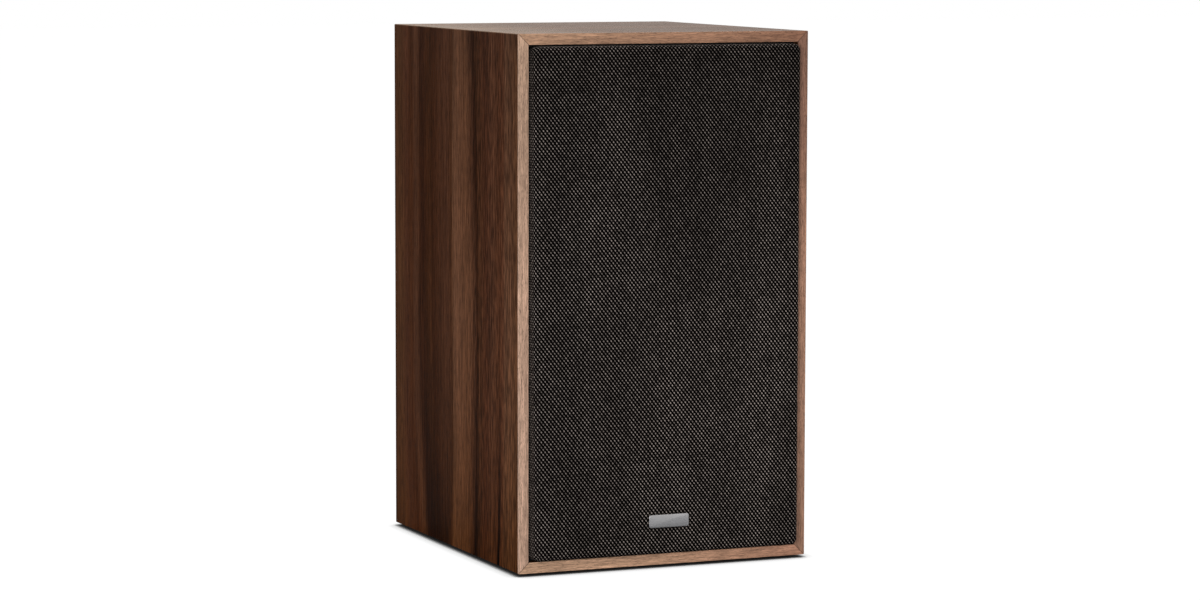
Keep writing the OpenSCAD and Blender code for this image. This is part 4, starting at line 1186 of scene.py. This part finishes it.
def wind_coils():
    """Winds the crossover's coils where the CAD has plain rings."""
    rule = coil_rule(enamelled_wire())
    for number, corner in enumerate(solids("crossover_inductors")):
        low, high = corner.min(0), corner.max(0)
        size = high - low
        axis = int(np.argmax([abs(size[(i + 1) % 3] - size[(i + 2) % 3]) < 0.5 * MM for i in range(3)]))
        middle = (low + high) / 2
        away = np.delete(corner - middle, axis, 1)
        inner = np.linalg.norm(away, axis=1).min()
        outer = size[(axis + 1) % 3] / 2
        piece = rule.run(
            f"crossover_coil_{number + 1}",
            seat_points("coil_seat", [middle]),
            Wire=COIL_WIRE,
            Inner_radius=float(inner),
            Layers=int((outer - inner) / COIL_WIRE),
            Turns=int(size[axis] / COIL_WIRE - 0.5),
            Axis=tuple(float(i == axis) for i in range(3)),
        )
        smooth(piece, 60)
        stand_for(piece, "crossover_inductors")


# -------- finishes of the CAD nodes

# The pale strips: whether they stand upright, and their colours from the low or left end. The colours hold
# painted light and shade from the front left: the left strip is palest, the right strip and the top's right
# end darker.
EDGING_WITH_PAINTED_LIGHT = {
    "left": (True, (196, 160, 138), (193, 157, 134), (178, 146, 123)),
    "right": (True, (156, 118, 97), (165, 125, 103), (160, 119, 98), (126, 92, 76)),
    "top": (False, (179, 141, 114), (163, 123, 98), (141, 101, 80)),
    "bottom": (False, (192, 155, 127), (198, 156, 127), (180, 132, 108)),
}
GLOSSY = (0.28, 900, 0.02 * MM, 1.36)  # smooth plastic: roughness, grain, its depth, and IOR


def dress(finish, names):
    for name in names.split():
        materials = nodes[name].data.materials
        materials.clear()
        materials.append(finish)


def dress_all():
    dress(walnut_veneer(), "left_side_panel right_side_panel top_panel bottom_panel")
    for side, grain in EDGING_WITH_PAINTED_LIGHT.items():
        dress(edging_veneer("edging_" + side, *grain), "front_edging_" + side)
    dress(black_board(), "rear_panel front_baffle")
    dress(bare_board(), "brace_panel")
    seals = "rubber_feet grille_sockets woofer_gasket tweeter_gasket terminal_gasket"
    dress(rubber("pad_rubber", (28, 28, 29), 0.8), seals)
    mouldings = "grille_frame grille_pegs terminal_cup port_tube tweeter_faceplate"
    dress(moulded("black_plastic", (32, 32, 33), 0.5), mouldings)
    dress(powder_coat("coated_steel", (36, 36, 37), 0.45), "woofer_basket")
    steels = "woofer_top_plate woofer_yoke tweeter_top_plate tweeter_yoke post_nuts"
    dress(metal("zinc_steel", (200, 198, 190), 0.3), steels)
    dress(ferrite(), "woofer_magnet tweeter_magnet")
    contacts = "woofer_terminals tweeter_terminals solder_lugs post_studs"
    dress(metal("terminal_brass", (226, 196, 122), 0.22), contacts)
    dress(rubber("surround_rubber", (26, 26, 27), 0.55), "woofer_surround")
    dress(doped_cloth(), "woofer_spider tweeter_surround tweeter_dome")
    dress(wound_wire(), "woofer_tinsel_leads woofer_voice_coil tweeter_voice_coil")
    dress(cone_fibre(), "woofer_cone woofer_dust_cap")
    dress(metal("former_foil", (214, 214, 218), 0.25), "woofer_former")
    dress(moulded("red_plastic", (168, 24, 22), *GLOSSY), "red_post_collar red_post_knob")
    dress(moulded("jet_plastic", (24, 24, 25), *GLOSSY), "black_post_collar black_post_knob")
    dress(metal("satin_metal", (176, 176, 179), 0.3, (70, 3000, 3000), 0.03 * MM), "badge_plate")
    dress(circuit_board(), "crossover_board")
    dress(moulded("nylon", (222, 220, 212), 0.45, 800, 0.02 * MM), "crossover_spacers")
    dress(moulded("film_sleeve", (206, 196, 168), 0.3, 600, 0.03 * MM), "crossover_capacitors")
    dress(moulded("cement", (216, 212, 202), 0.85, 1100, 0.12 * MM), "crossover_resistors")
    dress(moulded("wire_jacket", (172, 54, 44), 0.42, 900, 0.02 * MM), "internal_wires")


# -------- the scene

scene.view_settings.view_transform = "Standard"
place_camera()
light_studio()
lay_floor()
dress_all()
make_cloth()
lay_wadding()

# Parts whose round surfaces shade smooth
ROUND_PARTS = """
    woofer_basket woofer_cone woofer_dust_cap woofer_magnet woofer_yoke woofer_top_plate woofer_former
    woofer_voice_coil tweeter_faceplate tweeter_dome tweeter_magnet tweeter_yoke tweeter_top_plate
    tweeter_voice_coil port_tube terminal_cup red_post_knob black_post_knob red_post_collar
    black_post_collar post_studs crossover_capacitors internal_wires grille_pegs grille_sockets
"""
for node in ROUND_PARTS.split():
    soften(node)
# Parts whose edges are rounded over as well, and how wide in millimetres
EDGE_WIDTHS = {
    "badge_plate": 0.3,
    "rubber_feet": 0.4,
    "crossover_resistors": 0.5,
    "post_nuts": 0.2,
    "tweeter_terminals": 0.1,
    "woofer_terminals": 0.1,
}
for node, width in EDGE_WIDTHS.items():
    soften(node, width * MM)
# Suspensions: the part each follows inside the first radius; outside the second it stays put
for node, moving, inner, outer in (
    ("woofer_surround", "woofer_cone", radius("woofer_cone"), radius("woofer_surround") - LEDGE),
    ("woofer_spider", "woofer_former", radius("woofer_former") + NECK, radius("woofer_spider") - LEDGE),
    ("woofer_tinsel_leads", "woofer_cone", LEADS_START, radius("woofer_spider")),
    ("tweeter_surround", "tweeter_dome", radius("tweeter_dome"), radius("tweeter_surround") - DOME_CLAMP),
):
    soften(node, bend=(moving, inner, outer))

wind_coils()
socket_screws = screw_rule(metal("black_screw", (52, 52, 55), 0.34))
drive_screws(socket_screws, "woofer_screws", (0, -1, 0))
drive_screws(socket_screws, "tweeter_screws", (0, -1, 0))
sunk_screws = screw_rule(metal("black_sunk_screw", (52, 52, 55), 0.34), sunk=True)
drive_screws(sunk_screws, "terminal_screws", (0, 1, 0), sunk=True)
zinc_screws = screw_rule(metal("zinc_screw", (206, 204, 196), 0.3))
drive_screws(zinc_screws, "crossover_screws", (0, 0, 1))
